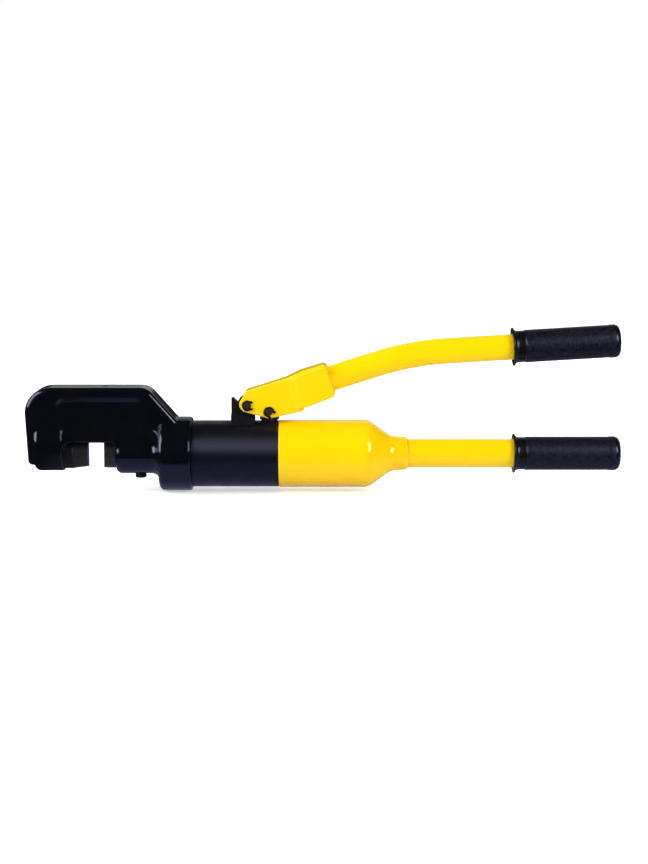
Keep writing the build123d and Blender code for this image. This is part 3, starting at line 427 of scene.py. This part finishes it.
# Stoved enamel over a blasted forging: a deep gloss whose reflections ripple with the forging.
FORGING_ENAMEL = Finish(
    name="black_enamel_sprayed_on_forging",
    colour="#06070B",
    tint="#090A10",
    patch_mm=30.0,
    roughness=(0.05, 0.10),
    sheen="#D8DCFF",
    ior=1.58,
    edge_mm=2.2,
    edge="#24242A",
    edge_wear_and_highlight=0.2,
    reliefs=(Relief((16.0, 16.0, 16.0), 0.07), Relief((2.0, 2.0, 2.0), 0.006)),
)

# Satin enamel over a turned bar: its turning marks, drawn coarser to show, draw the side lamps
# out to a band along it.
BARREL_ENAMEL = Finish(
    name="black_satin_enamel_on_turned_bar",
    colour="#0A0A11",
    tint="#0D0D15",
    patch_mm=24.0,
    roughness=(0.38, 0.56),
    sheen="#D0D2FF",
    turned=0.9,
    edge_mm=0.5,
    edge="#2A2A30",
    edge_wear_and_highlight=0.5,
    reliefs=(Relief((0.9, 60.0, 60.0), 0.006), Relief((1.4, 1.4, 1.4), 0.006)),
)

# Black oxide on milled steel: a dark skin, slightly brown in places, that shines along its edges.
BLACK_OXIDE = Finish(
    name="black_oxide_on_milled_steel",
    colour="#121217",
    tint="#18161B",
    patch_mm=9.0,
    roughness=(0.34, 0.50),
    metallic=0.3,
    edge_mm=0.35,
    edge="#4C4A4E",
    edge_wear_and_highlight=0.7,
    reliefs=(Relief((1.2, 1.2, 6.0), 0.006),),
)

# Phosphated steel, oiled: grey-brown and matt, lighter than the rings on it.
PIN_STEEL = Finish(
    name="steel_phosphated_and_oiled",
    colour="#362C2C",
    tint="#271F20",
    patch_mm=4.0,
    roughness=(0.38, 0.50),
    metallic=0.3,
    edge="#5E5450",
    edge_wear_and_highlight=0.5,
    reliefs=(Relief((0.9, 0.9, 0.9), 0.008),),
)

# Browned spring steel: nearly black, with a warm cast.
RING_STEEL = Finish(
    name="spring_steel_stamped_and_browned",
    colour="#2A1B12",
    tint="#20150E",
    patch_mm=4.0,
    roughness=(0.34, 0.46),
    metallic=0.5,
    edge="#4A4036",
    edge_wear_and_highlight=0.6,
    reliefs=(Relief((0.9, 0.9, 0.9), 0.006),),
)

# Hardened tool steel, ground: dark grey, with fine lines across it and brighter, rubbed edges.
BLADE_STEEL = Finish(
    name="tool_steel_hardened_and_ground",
    colour="#242226",
    tint="#1E1C1F",
    patch_mm=11.0,
    roughness=(0.30, 0.44),
    metallic=0.3,
    edge="#8A8682",
    edge_wear_and_highlight=0.8,
    reliefs=(Relief((0.8, 8.0, 8.0), 0.008),),
)

# The same steel on the blade that travels, painted lighter to lift the shade it sits in, deep in
# the throat.
BLADE_STEEL_PAINTED_LIGHTER = replace(
    BLADE_STEEL, name="tool_steel_ground_painted_lighter", colour="#454247", tint="#3A373C"
)

# Alloy steel, hardened and blued: near black, with a dull sheen along the ram.
RAM_STEEL = Finish(
    name="alloy_steel_hardened_and_blued",
    colour="#2B292D",
    tint="#252327",
    patch_mm=12.0,
    roughness=(0.28, 0.40),
    metallic=0.3,
    edge_mm=0.35,
    edge="#6A6A6E",
    edge_wear_and_highlight=0.7,
    reliefs=(Relief((0.8, 40.0, 40.0), 0.004),),
)

# Hard-chromed steel, ground and polished: bright, with faint rings drawn coarser to show.
GROUND_STEEL = Finish(
    name="steel_hard_chromed_and_ground",
    colour="#B2B2B6",
    tint="#A2A2A8",
    patch_mm=14.0,
    roughness=(0.16, 0.26),
    metallic=1.0,
    edge="#D0D0D2",
    edge_wear_and_highlight=0.6,
    reliefs=(Relief((0.6, 40.0, 40.0), 0.003),),
)

# Oil-tempered spring wire: blue-grey, with drawing lines along it.
SPRING_WIRE = Finish(
    name="spring_steel_drawn_and_tempered",
    colour="#47474C",
    tint="#3A3C44",
    patch_mm=8.0,
    roughness=(0.28, 0.42),
    metallic=1.0,
    reliefs=(Relief((0.5, 3.0, 3.0), 0.006),),
)

# Turned brass: warm yellow, with rings from the lathe.
BRASS = Finish(
    name="brass_turned",
    colour="#B98F3C",
    tint="#A67C30",
    patch_mm=7.0,
    roughness=(0.22, 0.34),
    metallic=1.0,
    reliefs=(Relief((0.4, 20.0, 20.0), 0.004),),
)

# Cast and reamed bronze: red-brown and a little grainy.
BRONZE = Finish(
    name="bronze_cast_and_reamed",
    colour="#96693A",
    tint="#83582F",
    patch_mm=6.0,
    roughness=(0.30, 0.44),
    metallic=1.0,
    reliefs=(Relief((0.7, 0.7, 0.7), 0.008),),
)

# Moulded nitrile rubber: black and dull, with a fine bloom.
SEAL_RUBBER = Finish(
    name="nitrile_rubber_moulded",
    colour="#141414",
    tint="#1C1B1B",
    patch_mm=10.0,
    roughness=(0.45, 0.60),
    reliefs=(Relief((0.8, 0.8, 0.8), 0.010),),
)

# Moulded grip rubber with a grain: a dull charcoal, with lighter patches the size of a grain
# painted on as highlights of grains that catch the light.
GRIP_RUBBER = Finish(
    name="grip_rubber_moulded_and_grained",
    colour="#05050A",
    tint="#1A1A22",
    patch_mm=2.6,
    roughness=(0.36, 0.50),
    sheen="#BCBEE6",
    reliefs=(Relief((1.5, 1.5, 1.5), 0.03), Relief((0.7, 0.7, 0.7), 0.012, Form.CELLS)),
)

# The same rubber out of a polished part of the mould: darker, and it glints on its rims.
SMOOTH_RUBBER = Finish(
    name="grip_rubber_moulded_smooth",
    colour="#0A090D",
    tint="#0E0D12",
    patch_mm=16.0,
    roughness=(0.24, 0.32),
    sheen="#D8DAFF",
    reliefs=(Relief((3.0, 3.0, 3.0), 0.01),),
)

# Filled PTFE, turned: milky white with a waxy sheen.
WHITE_PLASTIC = Finish(
    name="filled_ptfe_turned",
    colour="#E4E1D8",
    tint="#D6D2C6",
    patch_mm=8.0,
    roughness=(0.35, 0.48),
    reliefs=(Relief((0.5, 12.0, 12.0), 0.005),),
)

# ABS, injection-moulded: black with a fine spark-eroded grain.
BLACK_PLASTIC = Finish(
    name="abs_moulded_with_fine_grain",
    colour="#15151A",
    tint="#1B1B20",
    patch_mm=12.0,
    roughness=(0.40, 0.52),
    edge="#303036",
    edge_wear_and_highlight=0.4,
    reliefs=(Relief((0.9, 0.9, 0.9), 0.015, Form.CELLS),),
)

# Yellow enamel over welded steel: warm and even, with orange peel drawn coarser to show, and a
# cream highlight painted along its edges.
YELLOW_ENAMEL = Finish(
    name="yellow_enamel_sprayed_on_steel",
    colour="#FDD405",
    tint="#FCD005",
    patch_mm=55.0,
    roughness=(0.08, 0.13),
    edge_mm=0.8,
    # painted highlight: the cream line that light draws along the rims
    edge="#FFF0BE",
    edge_wear_and_highlight=1.2,
    reliefs=(Relief((22.0, 22.0, 22.0), 0.04), Relief((1.8, 1.8, 1.8), 0.006)),
)


# Sub-assemblies


@dataclass
class CoilSpring:
    """A round-wire spring along X, drawn in the box of its solid.

    Attributes:
        node: the solid that it stands for.
        joint: the joint that presses it together; not used.
        fixed_low: whether its low end stays in place; not used.
        travel_mm: how far that joint presses it; not used.
        wire_mm: radius of the wire.
        turns: number of turns.
        steps: points for each turn.
        sides: points round the wire.
    """

    node: str
    joint: str
    fixed_low: bool
    travel_mm: float
    wire_mm: float
    turns: int
    steps: int = 24
    sides: int = 10

    def build(self) -> bpy.types.Object:
        """Wind the wire.

        Returns:
            The spring.
        """
        low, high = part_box(self.node)
        wire = self.wire_mm * MM
        mean = (high.z - low.z) / 2 - wire
        middle = (low + high) / 2
        length = high.x - low.x - 2 * wire
        count = self.turns * self.steps
        form = bmesh.new()
        rings = []
        for step in range(count + 1):
            out = spoke(step, self.steps)
            along = low.x + wire + length * step / count
            centre = Vector((along, middle.y, middle.z)) + out * mean
            section = [self.section(out, side) * wire for side in range(self.sides)]
            rings.append([form.verts.new(centre + offset) for offset in section])
        for near, far in zip(rings, rings[1:]):
            for side in range(self.sides):
                after = (side + 1) % self.sides
                form.faces.new((near[side], near[after], far[after], far[side]))
        form.faces.new(rings[0][::-1])
        form.faces.new(rings[-1])
        mesh = smooth_mesh(form, self.node + "_coil")
        mesh.materials.append(SPRING_WIRE.material())
        spring = new_piece(self.node + "_coil", mesh, "tool_body")
        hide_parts(self.node)
        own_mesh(spring)
        LOG.info("%s: %d turns", spring.name, self.turns)
        return spring

    def section(self, out: Vector, side: int) -> Vector:
        """Direction of one point on the wire's round section."""
        angle = 2 * math.pi * side / self.sides
        return out * math.cos(angle) + Vector((1, 0, 0)) * math.sin(angle)


class Station(NamedTuple):
    """One ring of a grip's skin.

    Attributes:
        along: its distance from the guard's front face, in mm.
        radius: its radius, in mm, with zero for a point on the axis.
        grained: whether it lies on the grained body.
    """

    along: float
    radius: float
    grained: bool = False


@dataclass
class RubberGrip:
    """A moulded rubber grip with a hand guard, a smooth cuff, a grained body and a rounded end.

    Its profiles are rows of points, each so far along the axis and so far out, in mm, from the
    place that is named.

    Attributes:
        node: the solid that it stands for.
        body: the body that carries it.
        start_mm: middle of the guard's front face, as X and Z.
        tilt: rise of its axis, in degrees.
        bore_mm: radius of the tube inside.
        body_mm: radius of the grained body.
        guard_mm: rise of the guard over the body.
        guard_width_mm: thickness of the guard's rim.
        guard_front: profile of the rim from the top of its front face.
        guard_back: profile of the rim from the top of its back face.
        root_mm: hollow behind the guard, along the axis.
        root_drop_mm: top of the guard to the top of that hollow.
        cuff_mm: guard's front face to the edge of the grained body.
        cuff_sink_mm: smooth cuff under that edge.
        cuff_end: profile of the cuff's end, from the cuff under the edge.
        edge_bead: profile of the edge, from the edge.
        grain_start_mm: edge to the first grained ring.
        grain_stop_mm: least room between the last grained ring and the end band.
        band_mm: length of the raised end band.
        band_step: profile of the step up to the band, from the body under it.
        length_mm: whole length.
        end_mm: thickness of the closed end.
        corner_mm: rounding of the closed end.
        grain_mm: size of a grain of the body.
        grain_depth_mm: depth of the grooves between grains.
        groove: width of a groove's slope, as a share of a grain.
        step_mm: spacing of the mesh along the body.
        sides: points round the grip.
        arc_steps: steps of each quarter round in its outline.
        crease: angle at which an edge of the mesh stays sharp, in degrees.
    """

    node: str
    body: str
    start_mm: Span
    tilt: float
    bore_mm: float
    body_mm: float
    guard_mm: float = 2.95
    guard_width_mm: float = 1.8
    guard_front: tuple[Span, ...] = ((0.0, -0.6), (0.2, -0.15), (0.6, 0.0), (1.2, -0.05))
    guard_back: tuple[Span, ...] = ((-0.1, -0.5),)
    root_mm: float = 4.4
    root_drop_mm: float = 0.8
    cuff_mm: float = 12.6
    cuff_sink_mm: float = 0.5
    cuff_end: tuple[Span, ...] = ((-0.9, 0.0), (-0.5, 0.06))
    edge_bead: tuple[Span, ...] = ((-0.2, -0.2), (0.0, 0.0), (0.3, 0.1), (0.7, 0.04))
    grain_start_mm: float = 1.0
    grain_stop_mm: float = 0.6
    band_mm: float = 10.5
    band_step: tuple[Span, ...] = ((-0.5, 0.0), (-0.2, 0.05), (0.2, 0.25), (1.0, 0.28))
    length_mm: float = 106.4
    end_mm: float = 5.0
    corner_mm: float = 5.5
    grain_mm: float = 2.2
    grain_depth_mm: float = 0.16
    groove: float = 0.25
    step_mm: float = 0.6
    sides: int = 160
    arc_steps: int = 12
    crease: float = 50.0

    def build(self) -> bpy.types.Object:
        """Turn the grip's profile, grain its body and put it on its tube.

        Returns:
            The grip.
        """
        stations = self.outside() + self.inside()
        form = bmesh.new()
        rings = [self.ring(form, station) for station in stations]
        for near, far, station in zip(rings, rings[1:] + rings[:1], stations):
            self.join(form, near, far, int(self.polished(station.along)))
        mesh = smooth_mesh(form, self.node + "_rubber")
        mesh.set_sharp_from_angle(angle=math.radians(self.crease))
        for finish in (GRIP_RUBBER, SMOOTH_RUBBER):
            mesh.materials.append(finish.material())
        place = Matrix.Translation((self.start_mm[0] * MM, 0, self.start_mm[1] * MM))
        mesh.transform(place @ Matrix.Rotation(math.radians(-self.tilt), 4, "Y"))
        grip = new_piece(self.node + "_rubber", mesh, self.body)
        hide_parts(self.node)
        LOG.info("%s: %d faces", grip.name, len(mesh.polygons))
        return grip

    def outside(self) -> list[Station]:
        """Lay out the outer skin, from the bore at the guard to the closed end.

        Returns:
            Its stations in order.
        """
        body, rim = self.body_mm, self.body_mm + self.guard_mm
        cuff, width = body - self.cuff_sink_mm, self.guard_width_mm
        band = self.length_mm - self.band_mm
        turns = [math.radians(90 * step / self.arc_steps) for step in range(self.arc_steps + 1)]
        skin = [Station(0.0, self.bore_mm)]
        skin += self.profile(self.guard_front, 0.0, rim)
        skin += self.profile(self.guard_back, width, rim)
        for turn in turns[1:]:
            hollow = (rim - self.root_drop_mm - cuff) * (1 - math.sin(turn))
            skin.append(Station(width + self.root_mm * (1 - math.cos(turn)), cuff + hollow))
        skin += self.profile(self.cuff_end, self.cuff_mm, cuff)
        skin += self.profile(self.edge_bead, self.cuff_mm, body)
        along = self.cuff_mm + self.grain_start_mm
        while along < band - self.grain_stop_mm:
            skin.append(Station(along, body, True))
            along += self.step_mm
        skin += self.profile(self.band_step, band, body)
        corner, crown = self.corner_mm, body + self.band_step[-1][1]
        for turn in turns:
            along = self.length_mm - corner + corner * math.sin(turn)
            skin.append(Station(along, crown - corner + corner * math.cos(turn)))
        return skin

    @staticmethod
    def profile(points: tuple[Span, ...], along: float, radius: float) -> list[Station]:
        """Stations of a profile that is drawn from a place on the skin."""
        return [Station(along + step, radius + rise) for step, rise in points]

    def inside(self) -> list[Station]:
        """Stations of the closed end and the bore, back to the guard."""
        floor = self.length_mm - self.end_mm
        return [Station(self.length_mm, 0.0), Station(floor, 0.0), Station(floor, self.bore_mm)]

    def ring(self, form: bmesh.types.BMesh, station: Station) -> Ring:
        """Lay one ring of points round the axis.

        Args:
            form: the mesh that takes the points.
            station: the ring's place on the grip.

        Returns:
            The ring's points.
        """
        if not station.radius:
            return [form.verts.new((station.along * MM, 0, 0))]
        centre = Vector((station.along, 0, 0))
        ring = []
        for side in range(self.sides):
            out = spoke(side, self.sides)
            depth = self.grain(centre + out * station.radius) if station.grained else 0.0
            ring.append(form.verts.new((centre + out * (station.radius - depth)) * MM))
        return ring

    def polished(self, along: float) -> bool:
        """Whether the skin at a distance from the guard is smooth: the cuff and the rounded end."""
        return not self.cuff_mm <= along < self.length_mm - self.corner_mm

    def grain(self, place: Vector) -> float:
        """Depth of the groove between grains at a place on the body, in mm."""
        near = noise.voronoi(place / self.grain_mm)[0]
        return self.grain_depth_mm * max(0.0, 1 - (near[1] - near[0]) / self.groove)

    def join(self, form: bmesh.types.BMesh, near: Ring, far: Ring, finish: int) -> None:
        """Fill the faces between two rings, either of which may be one point.

        Args:
            form: the mesh that takes the faces.
            near: the first ring.
            far: the second ring.
            finish: the place of the faces' finish in the grip's list.
        """
        if len(near) == 1 and len(far) == 1:
            return
        for side in range(self.sides):
            after = (side + 1) % self.sides
            if len(near) == 1:
                corners = (near[0], far[after], far[side])
            elif len(far) == 1:
                corners = (near[side], near[after], far[0])
            else:
                corners = (near[side], near[after], far[after], far[side])
            form.faces.new(corners).material_index = finish


@dataclass
class CutterHead:
    """The forged head with the fixed blade and the screws in it."""

    def build(self) -> None:
        """Dress the forging, the blade, the screws, the bush and the wiper."""
        FORGING_ENAMEL.on("cutter_head")
        BLADE_STEEL.on("fixed_blade")
        BLACK_OXIDE.on("fixed_blade_holder", "fixed_blade_screw", "guide_screw")
        BRONZE.on("rod_bush")
        SEAL_RUBBER.on("rod_wiper")


@dataclass
class RamAndBlade:
    """The ram, its seals, its return spring and the moving blade.

    Attributes:
        stroke_mm: how far the ram presses its return spring.
        wire_mm: radius of that spring's wire.
        turns: its number of turns.
    """

    stroke_mm: float = 16.0
    wire_mm: float = 2.2
    turns: int = 7

    def build(self) -> None:
        """Dress the ram and wind its return spring."""
        RAM_STEEL.on("ram")
        # The moving blade's steel is painted lighter to lift the shade of the throat.
        BLADE_STEEL_PAINTED_LIGHTER.on("moving_blade")
        BLACK_OXIDE.on("moving_blade_screw")
        SEAL_RUBBER.on("piston_seal")
        WHITE_PLASTIC.on("piston_backup_ring")
        CoilSpring(
            node="return_spring",
            joint="ram_slide",
            fixed_low=True,
            travel_mm=self.stroke_mm,
            wire_mm=self.wire_mm,
            turns=self.turns,
        ).build()


@dataclass
class CylinderAndPump:
    """The barrel, with the pump, its valves and the release knob.

    Attributes:
        ball_lift_mm: how far a valve's ball presses its spring.
        wire_mm: radius of a valve spring's wire.
        turns: number of turns of a valve spring.
    """

    ball_lift_mm: float = 0.8
    wire_mm: float = 0.35
    turns: int = 4

    def build(self) -> None:
        """Dress the barrel and the valves, and wind the valve springs."""
        BARREL_ENAMEL.on("cylinder_barrel")
        GROUND_STEEL.on("pump_plunger", "plunger_gland", "release_spindle", "release_ball")
        GROUND_STEEL.on("suction_ball", "discharge_ball", "relief_ball")
        BRASS.on("suction_seat_screw", "discharge_plug", "relief_screw")
        SEAL_RUBBER.on("plunger_seal", "reservoir_o_ring")
        BLACK_PLASTIC.on("release_knob")
        for valve, fixed_low in (("suction", True), ("discharge", True), ("relief", False)):
            CoilSpring(
                node=f"{valve}_spring",
                joint=f"{valve}_ball_lift",
                fixed_low=fixed_low,
                travel_mm=self.ball_lift_mm,
                wire_mm=self.wire_mm,
                turns=self.turns,
            ).build()


@dataclass
class OilReservoir:
    """The oil reservoir with the fixed handle.

    Attributes:
        grip_start_mm: middle of the front face of the grip's guard, as X and Z.
        tube_mm: radius of the handle's tube.
        grip_mm: radius of the grip's body.
    """

    grip_start_mm: Span = (424.0, 0.0)
    tube_mm: float = 14.35
    grip_mm: float = 16.75

    def build(self) -> None:
        """Dress the shell and the tube, and make the fixed grip."""
        YELLOW_ENAMEL.on("reservoir_shell", "fixed_handle_tube")
        SEAL_RUBBER.on("oil_bladder")
        GROUND_STEEL.on("bladder_clamp")
        BRASS.on("filler_plug")
        RubberGrip(
            node="fixed_grip",
            body="tool_body",
            start_mm=self.grip_start_mm,
            tilt=0.0,
            bore_mm=self.tube_mm,
            body_mm=self.grip_mm,
        ).build()


@dataclass
class PumpLever:
    """The pump lever with its yoke, pins, bracket and grip.

    Attributes:
        grip_start_mm: middle of the front face of the grip's guard, as X and Z.
        grip_tilt: rise of the grip's axis, in degrees.
        tube_mm: radius of the lever's tube.
        grip_mm: radius of the grip's body.
    """

    grip_start_mm: Span = (421.89, 106.86)
    grip_tilt: float = 3.4
    tube_mm: float = 12.85
    grip_mm: float = 16.25

    def build(self) -> None:
        """Dress the lever and its pivots, and make the lever's grip."""
        YELLOW_ENAMEL.on("lever_yoke", "lever_tube")
        BLACK_OXIDE.on("lever_bracket")
        PIN_STEEL.on("pivot_pin", "plunger_pin")
        RING_STEEL.on("pivot_pin_rings", "plunger_pin_rings")
        RubberGrip(
            node="lever_grip",
            body="lever",
            start_mm=self.grip_start_mm,
            tilt=self.grip_tilt,
            bore_mm=self.tube_mm,
            body_mm=self.grip_mm,
        ).build()


# Studio


@dataclass(frozen=True)
class Softbox:
    """A rectangular lamp that faces a point.

    Attributes:
        name: its name.
        place: where it stands, in metres.
        aim: the point that it faces.
        size: its width and height, in metres.
        power: its light, in watts.
        mirrored: whether the tool mirrors it.
    """

    name: str
    place: Point
    aim: Point
    size: Span
    power: float
    mirrored: bool = True

    def build(self) -> None:
        """Hang the lamp."""
        data = bpy.data.lights.new(self.name, "AREA")
        data.shape = "RECTANGLE"
        data.size, data.size_y = self.size
        data.energy = self.power
        lamp = bpy.data.objects.new(self.name, data)
        lamp.visible_camera = False
        lamp.visible_glossy = self.mirrored
        lamp.location = self.place
        way = Vector(self.aim) - Vector(self.place)
        lamp.rotation_euler = way.to_track_quat("-Z", "Y").to_euler()
        bpy.context.scene.collection.objects.link(lamp)
        LOG.info("%s: %.1f W", self.name, self.power)


@dataclass
class Studio:
    """White floor, soft lamps and the camera of the photograph.

    Attributes:
        target: the point in the middle of the picture.
        distance: camera to that point.
        elevation: height of the camera over the horizon, in degrees.
        lens: focal length in mm on a 36 mm frame height.
        floor_gap: floor under the tool.
        floor_size: side of the floor.
        paper_colour: the colour of the floor's white paper.
        paper_front: ends of the soft front edge of its mirror image, along Y.
        paper_back: ends of the soft back edge of that image.
        paper_left: ends of its soft left edge, along X.
        paper_shine: how bright the tool mirrors the paper.
        paper_cast: the colour of the paper in that mirror.
        paper_glow: how white the paper shows by itself, round the tool and far from it.
        glow_reach: where that begins to change and is fully changed, from the target.
        backdrop: how bright the tool mirrors the wall behind it.
        wall_depth: where that wall begins and is full, along Y of a direction.
        wall_height: where it begins and is full, along Z of a direction.
        room: how bright it mirrors the dark room in front.
        ambient: faint light from all round.
        sky: how bright the camera sees the wall, where 1 is white.
        lamps: the lamps round the tool.
    """

    target: Point = (0.2350, 0.0, 0.0215)
    distance: float = 1.65
    elevation: float = 8.5
    lens: float = 68.75
    floor_gap: float = 0.0003
    floor_size: float = 12.0
    paper_colour: str = "#F1F1F1"
    paper_front: Span = (-0.115, -0.085)
    paper_back: Span = (0.5, 0.25)
    paper_left: Span = (-0.07, 0.03)
    paper_shine: float = 0.45
    paper_cast: str = "#D2D6FF"
    paper_glow: Span = (0.45, 0.95)
    glow_reach: Span = (0.45, 2.0)
    backdrop: float = 0.5
    wall_depth: Span = (0.6, 0.85)
    wall_height: Span = (0.075, 0.15)
    room: float = 0.02
    ambient: float = 0.15
    sky: float = 1.0
    lamps: tuple[Softbox, ...] = (
        Softbox("softbox_left", (-1.15, -0.55, 0.7), (0.0, 0.0, 0.05), (0.85, 1.15), 24.0),
        Softbox("softbox_right", (1.25, -1.0, 0.68), (0.4, 0.0, 0.05), (0.6, 0.75), 13.5),
        Softbox("ceiling", (0.2, 0.5, 1.7), (0.2, 0.1, 0.0), (3.0, 1.4), 20.0, False),
        Softbox("softbox_back", (0.25, 1.45, 0.75), (0.25, 0.0, 0.05), (1.6, 0.9), 16.0, False),
    )

    def build(self) -> None:
        """Set up the camera, the floor, the world and the lamps."""
        bpy.context.scene.view_settings.view_transform = "Standard"
        self.place_camera()
        self.lay_floor()
        self.light_world()
        for lamp in self.lamps:
            lamp.build()

    def place_camera(self) -> None:
        """Stand the camera at the photograph's viewing angle."""
        data = bpy.data.cameras.new("camera")
        data.lens = self.lens
        camera = bpy.data.objects.new("camera", data)
        rise = math.radians(self.elevation)
        back = Vector((0, -math.cos(rise), math.sin(rise)))
        camera.location = Vector(self.target) + back * self.distance
        camera.rotation_euler = (math.pi / 2 - rise, 0, 0)
        bpy.context.scene.collection.objects.link(camera)
        bpy.context.scene.camera = camera

    def lay_floor(self) -> None:
        """Lay the floor under the tool."""
        half = self.floor_size / 2
        height = CAD_BOX[0][2] - self.floor_gap
        square = ((-half, -half), (half, -half), (half, half), (-half, half))
        mesh = bpy.data.meshes.new("floor")
        mesh.from_pydata([(x, y, height) for x, y in square], [], [(0, 1, 2, 3)])
        mesh.materials.append(self.paper())
        floor = bpy.data.objects.new("floor", mesh)
        bpy.context.scene.collection.objects.link(floor)

    def paper(self) -> bpy.types.Material:
        """Make the paper, which stays white to the eye and in reflections but keeps shadows.

        Returns:
            The paper's material.
        """
        paper = bpy.data.materials.new("white_paper_sweep")
        paper.use_nodes = True
        tree = paper.node_tree
        tree.nodes.remove(tree.nodes["Principled BSDF"])
        path = add_node(tree, "ShaderNodeLightPath")
        place = add_node(tree, "ShaderNodeNewGeometry").outputs["Position"]
        shade = add_node(tree, "ShaderNodeBsdfDiffuse", values={"Color": linear(self.paper_colour)})
        reach = add_node(
            tree,
            "ShaderNodeVectorMath",
            links={0: place},
            values={1: self.target},
            operation="DISTANCE",
        ).outputs["Value"]
        glow = add_node(
            tree,
            "ShaderNodeMapRange",
            links={"Value": reach},
            values={
                "From Min": self.glow_reach[0],
                "From Max": self.glow_reach[1],
                "To Min": self.paper_glow[0],
                "To Max": self.paper_glow[1],
            },
            interpolation_type="SMOOTHSTEP",
        ).outputs["Result"]
        seen = add_node(
            tree,
            "ShaderNodeMath",
            links={0: path.outputs["Is Camera Ray"], 1: glow},
            operation="MULTIPLY",
        ).outputs[0]
        white = add_node(tree, "ShaderNodeEmission", links={"Strength": seen})
        lit = add_node(
            tree, "ShaderNodeAddShader", links={0: shade.outputs[0], 1: white.outputs[0]}
        )
        image = add_node(
            tree,
            "ShaderNodeEmission",
            links={"Strength": self.paper_image(tree, place)},
            values={"Color": linear(self.paper_cast)},
        )
        both = add_node(
            tree,
            "ShaderNodeMixShader",
            links={0: self.mirrored(tree, path), 1: lit.outputs[0], 2: image.outputs[0]},
        )
        tree.links.new(both.outputs[0], tree.nodes["Material Output"].inputs["Surface"])
        return paper

    def paper_image(self, tree: Tree, place: Socket) -> Socket:
        """Draw how bright the tool mirrors the paper: white round it, dark beyond its edges.

        Args:
            tree: the paper's nodes.
            place: the socket of the place on the paper.

        Returns:
            The socket of that brightness.
        """
        way = add_node(tree, "ShaderNodeSeparateXYZ", links={0: place}).outputs
        edges = (
            (way["Y"], self.paper_front),
            (way["Y"], self.paper_back),
            (way["X"], self.paper_left),
        )
        return self.window(tree, edges, self.paper_shine)

    def window(self, tree: Tree, edges: tuple[tuple[Socket, Span], ...], bright: float) -> Socket:
        """Draw a brightness that rises from the dim room to a bright area over soft edges.

        Args:
            tree: the nodes of a material or of the world.
            edges: for each edge a coordinate, and where along it the area begins and is full.
            bright: brightness of the area.

        Returns:
            The socket of that brightness.
        """
        shares = [
            add_node(
                tree,
                "ShaderNodeMapRange",
                links={"Value": value},
                values={"From Min": start, "From Max": full},
                interpolation_type="SMOOTHSTEP",
            ).outputs["Result"]
            for value, (start, full) in edges
        ]
        share = shares[0]
        for other in shares[1:]:
            share = add_node(
                tree, "ShaderNodeMath", links={0: share, 1: other}, operation="MULTIPLY"
            ).outputs[0]
        return add_node(
            tree,
            "ShaderNodeMapRange",
            links={"Value": share},
            values={"To Min": self.room, "To Max": bright},
        ).outputs["Result"]

    @staticmethod
    def mirrored(tree: Tree, path: bpy.types.Node) -> Socket:
        """Mask the rays that come by way of a reflection or through glass.

        Args:
            tree: the nodes of a material or of the world.
            path: the node that tells one kind of ray from another.

        Returns:
            The socket of the mask, one for such rays.
        """
        return add_node(
            tree,
            "ShaderNodeMath",
            links={0: path.outputs["Is Glossy Ray"], 1: path.outputs["Is Transmission Ray"]},
            operation="MAXIMUM",
        ).outputs[0]

    def light_world(self) -> None:
        """Give the world a white backdrop behind the tool and a dim room in front of it."""
        world = bpy.data.worlds.new("studio")
        bpy.context.scene.world = world
        world.use_nodes = True
        tree = world.node_tree
        path = add_node(tree, "ShaderNodeLightPath")
        place = add_node(tree, "ShaderNodeTexCoord").outputs["Generated"]
        way = add_node(tree, "ShaderNodeSeparateXYZ", links={0: place}).outputs
        edges = ((way["Y"], self.wall_depth), (way["Z"], self.wall_height))
        backdrop = self.window(tree, edges, self.backdrop)
        dim = add_node(
            tree,
            "ShaderNodeMix",
            links={MIX_SHARE: self.mirrored(tree, path), NUMBER_B: backdrop},
            values={NUMBER_A: self.ambient},
            data_type="FLOAT",
        ).outputs[NUMBER_OUT]
        strength = add_node(
            tree,
            "ShaderNodeMix",
            links={MIX_SHARE: path.outputs["Is Camera Ray"], NUMBER_A: dim},
            values={NUMBER_B: self.sky},
            data_type="FLOAT",
        ).outputs[NUMBER_OUT]
        background = tree.nodes["Background"]
        background.inputs["Color"].default_value = linear(WHITE)
        tree.links.new(strength, background.inputs["Strength"])


def main() -> None:
    """Build every sub-assembly and the studio."""
    logging.basicConfig(level=logging.INFO, format="%(message)s")
    parts = (CutterHead(), RamAndBlade(), CylinderAndPump(), OilReservoir(), PumpLever(), Studio())
    for part in parts:
        LOG.info("%s", type(part).__name__)
        part.build()


if __name__ == "__main__":
    main()
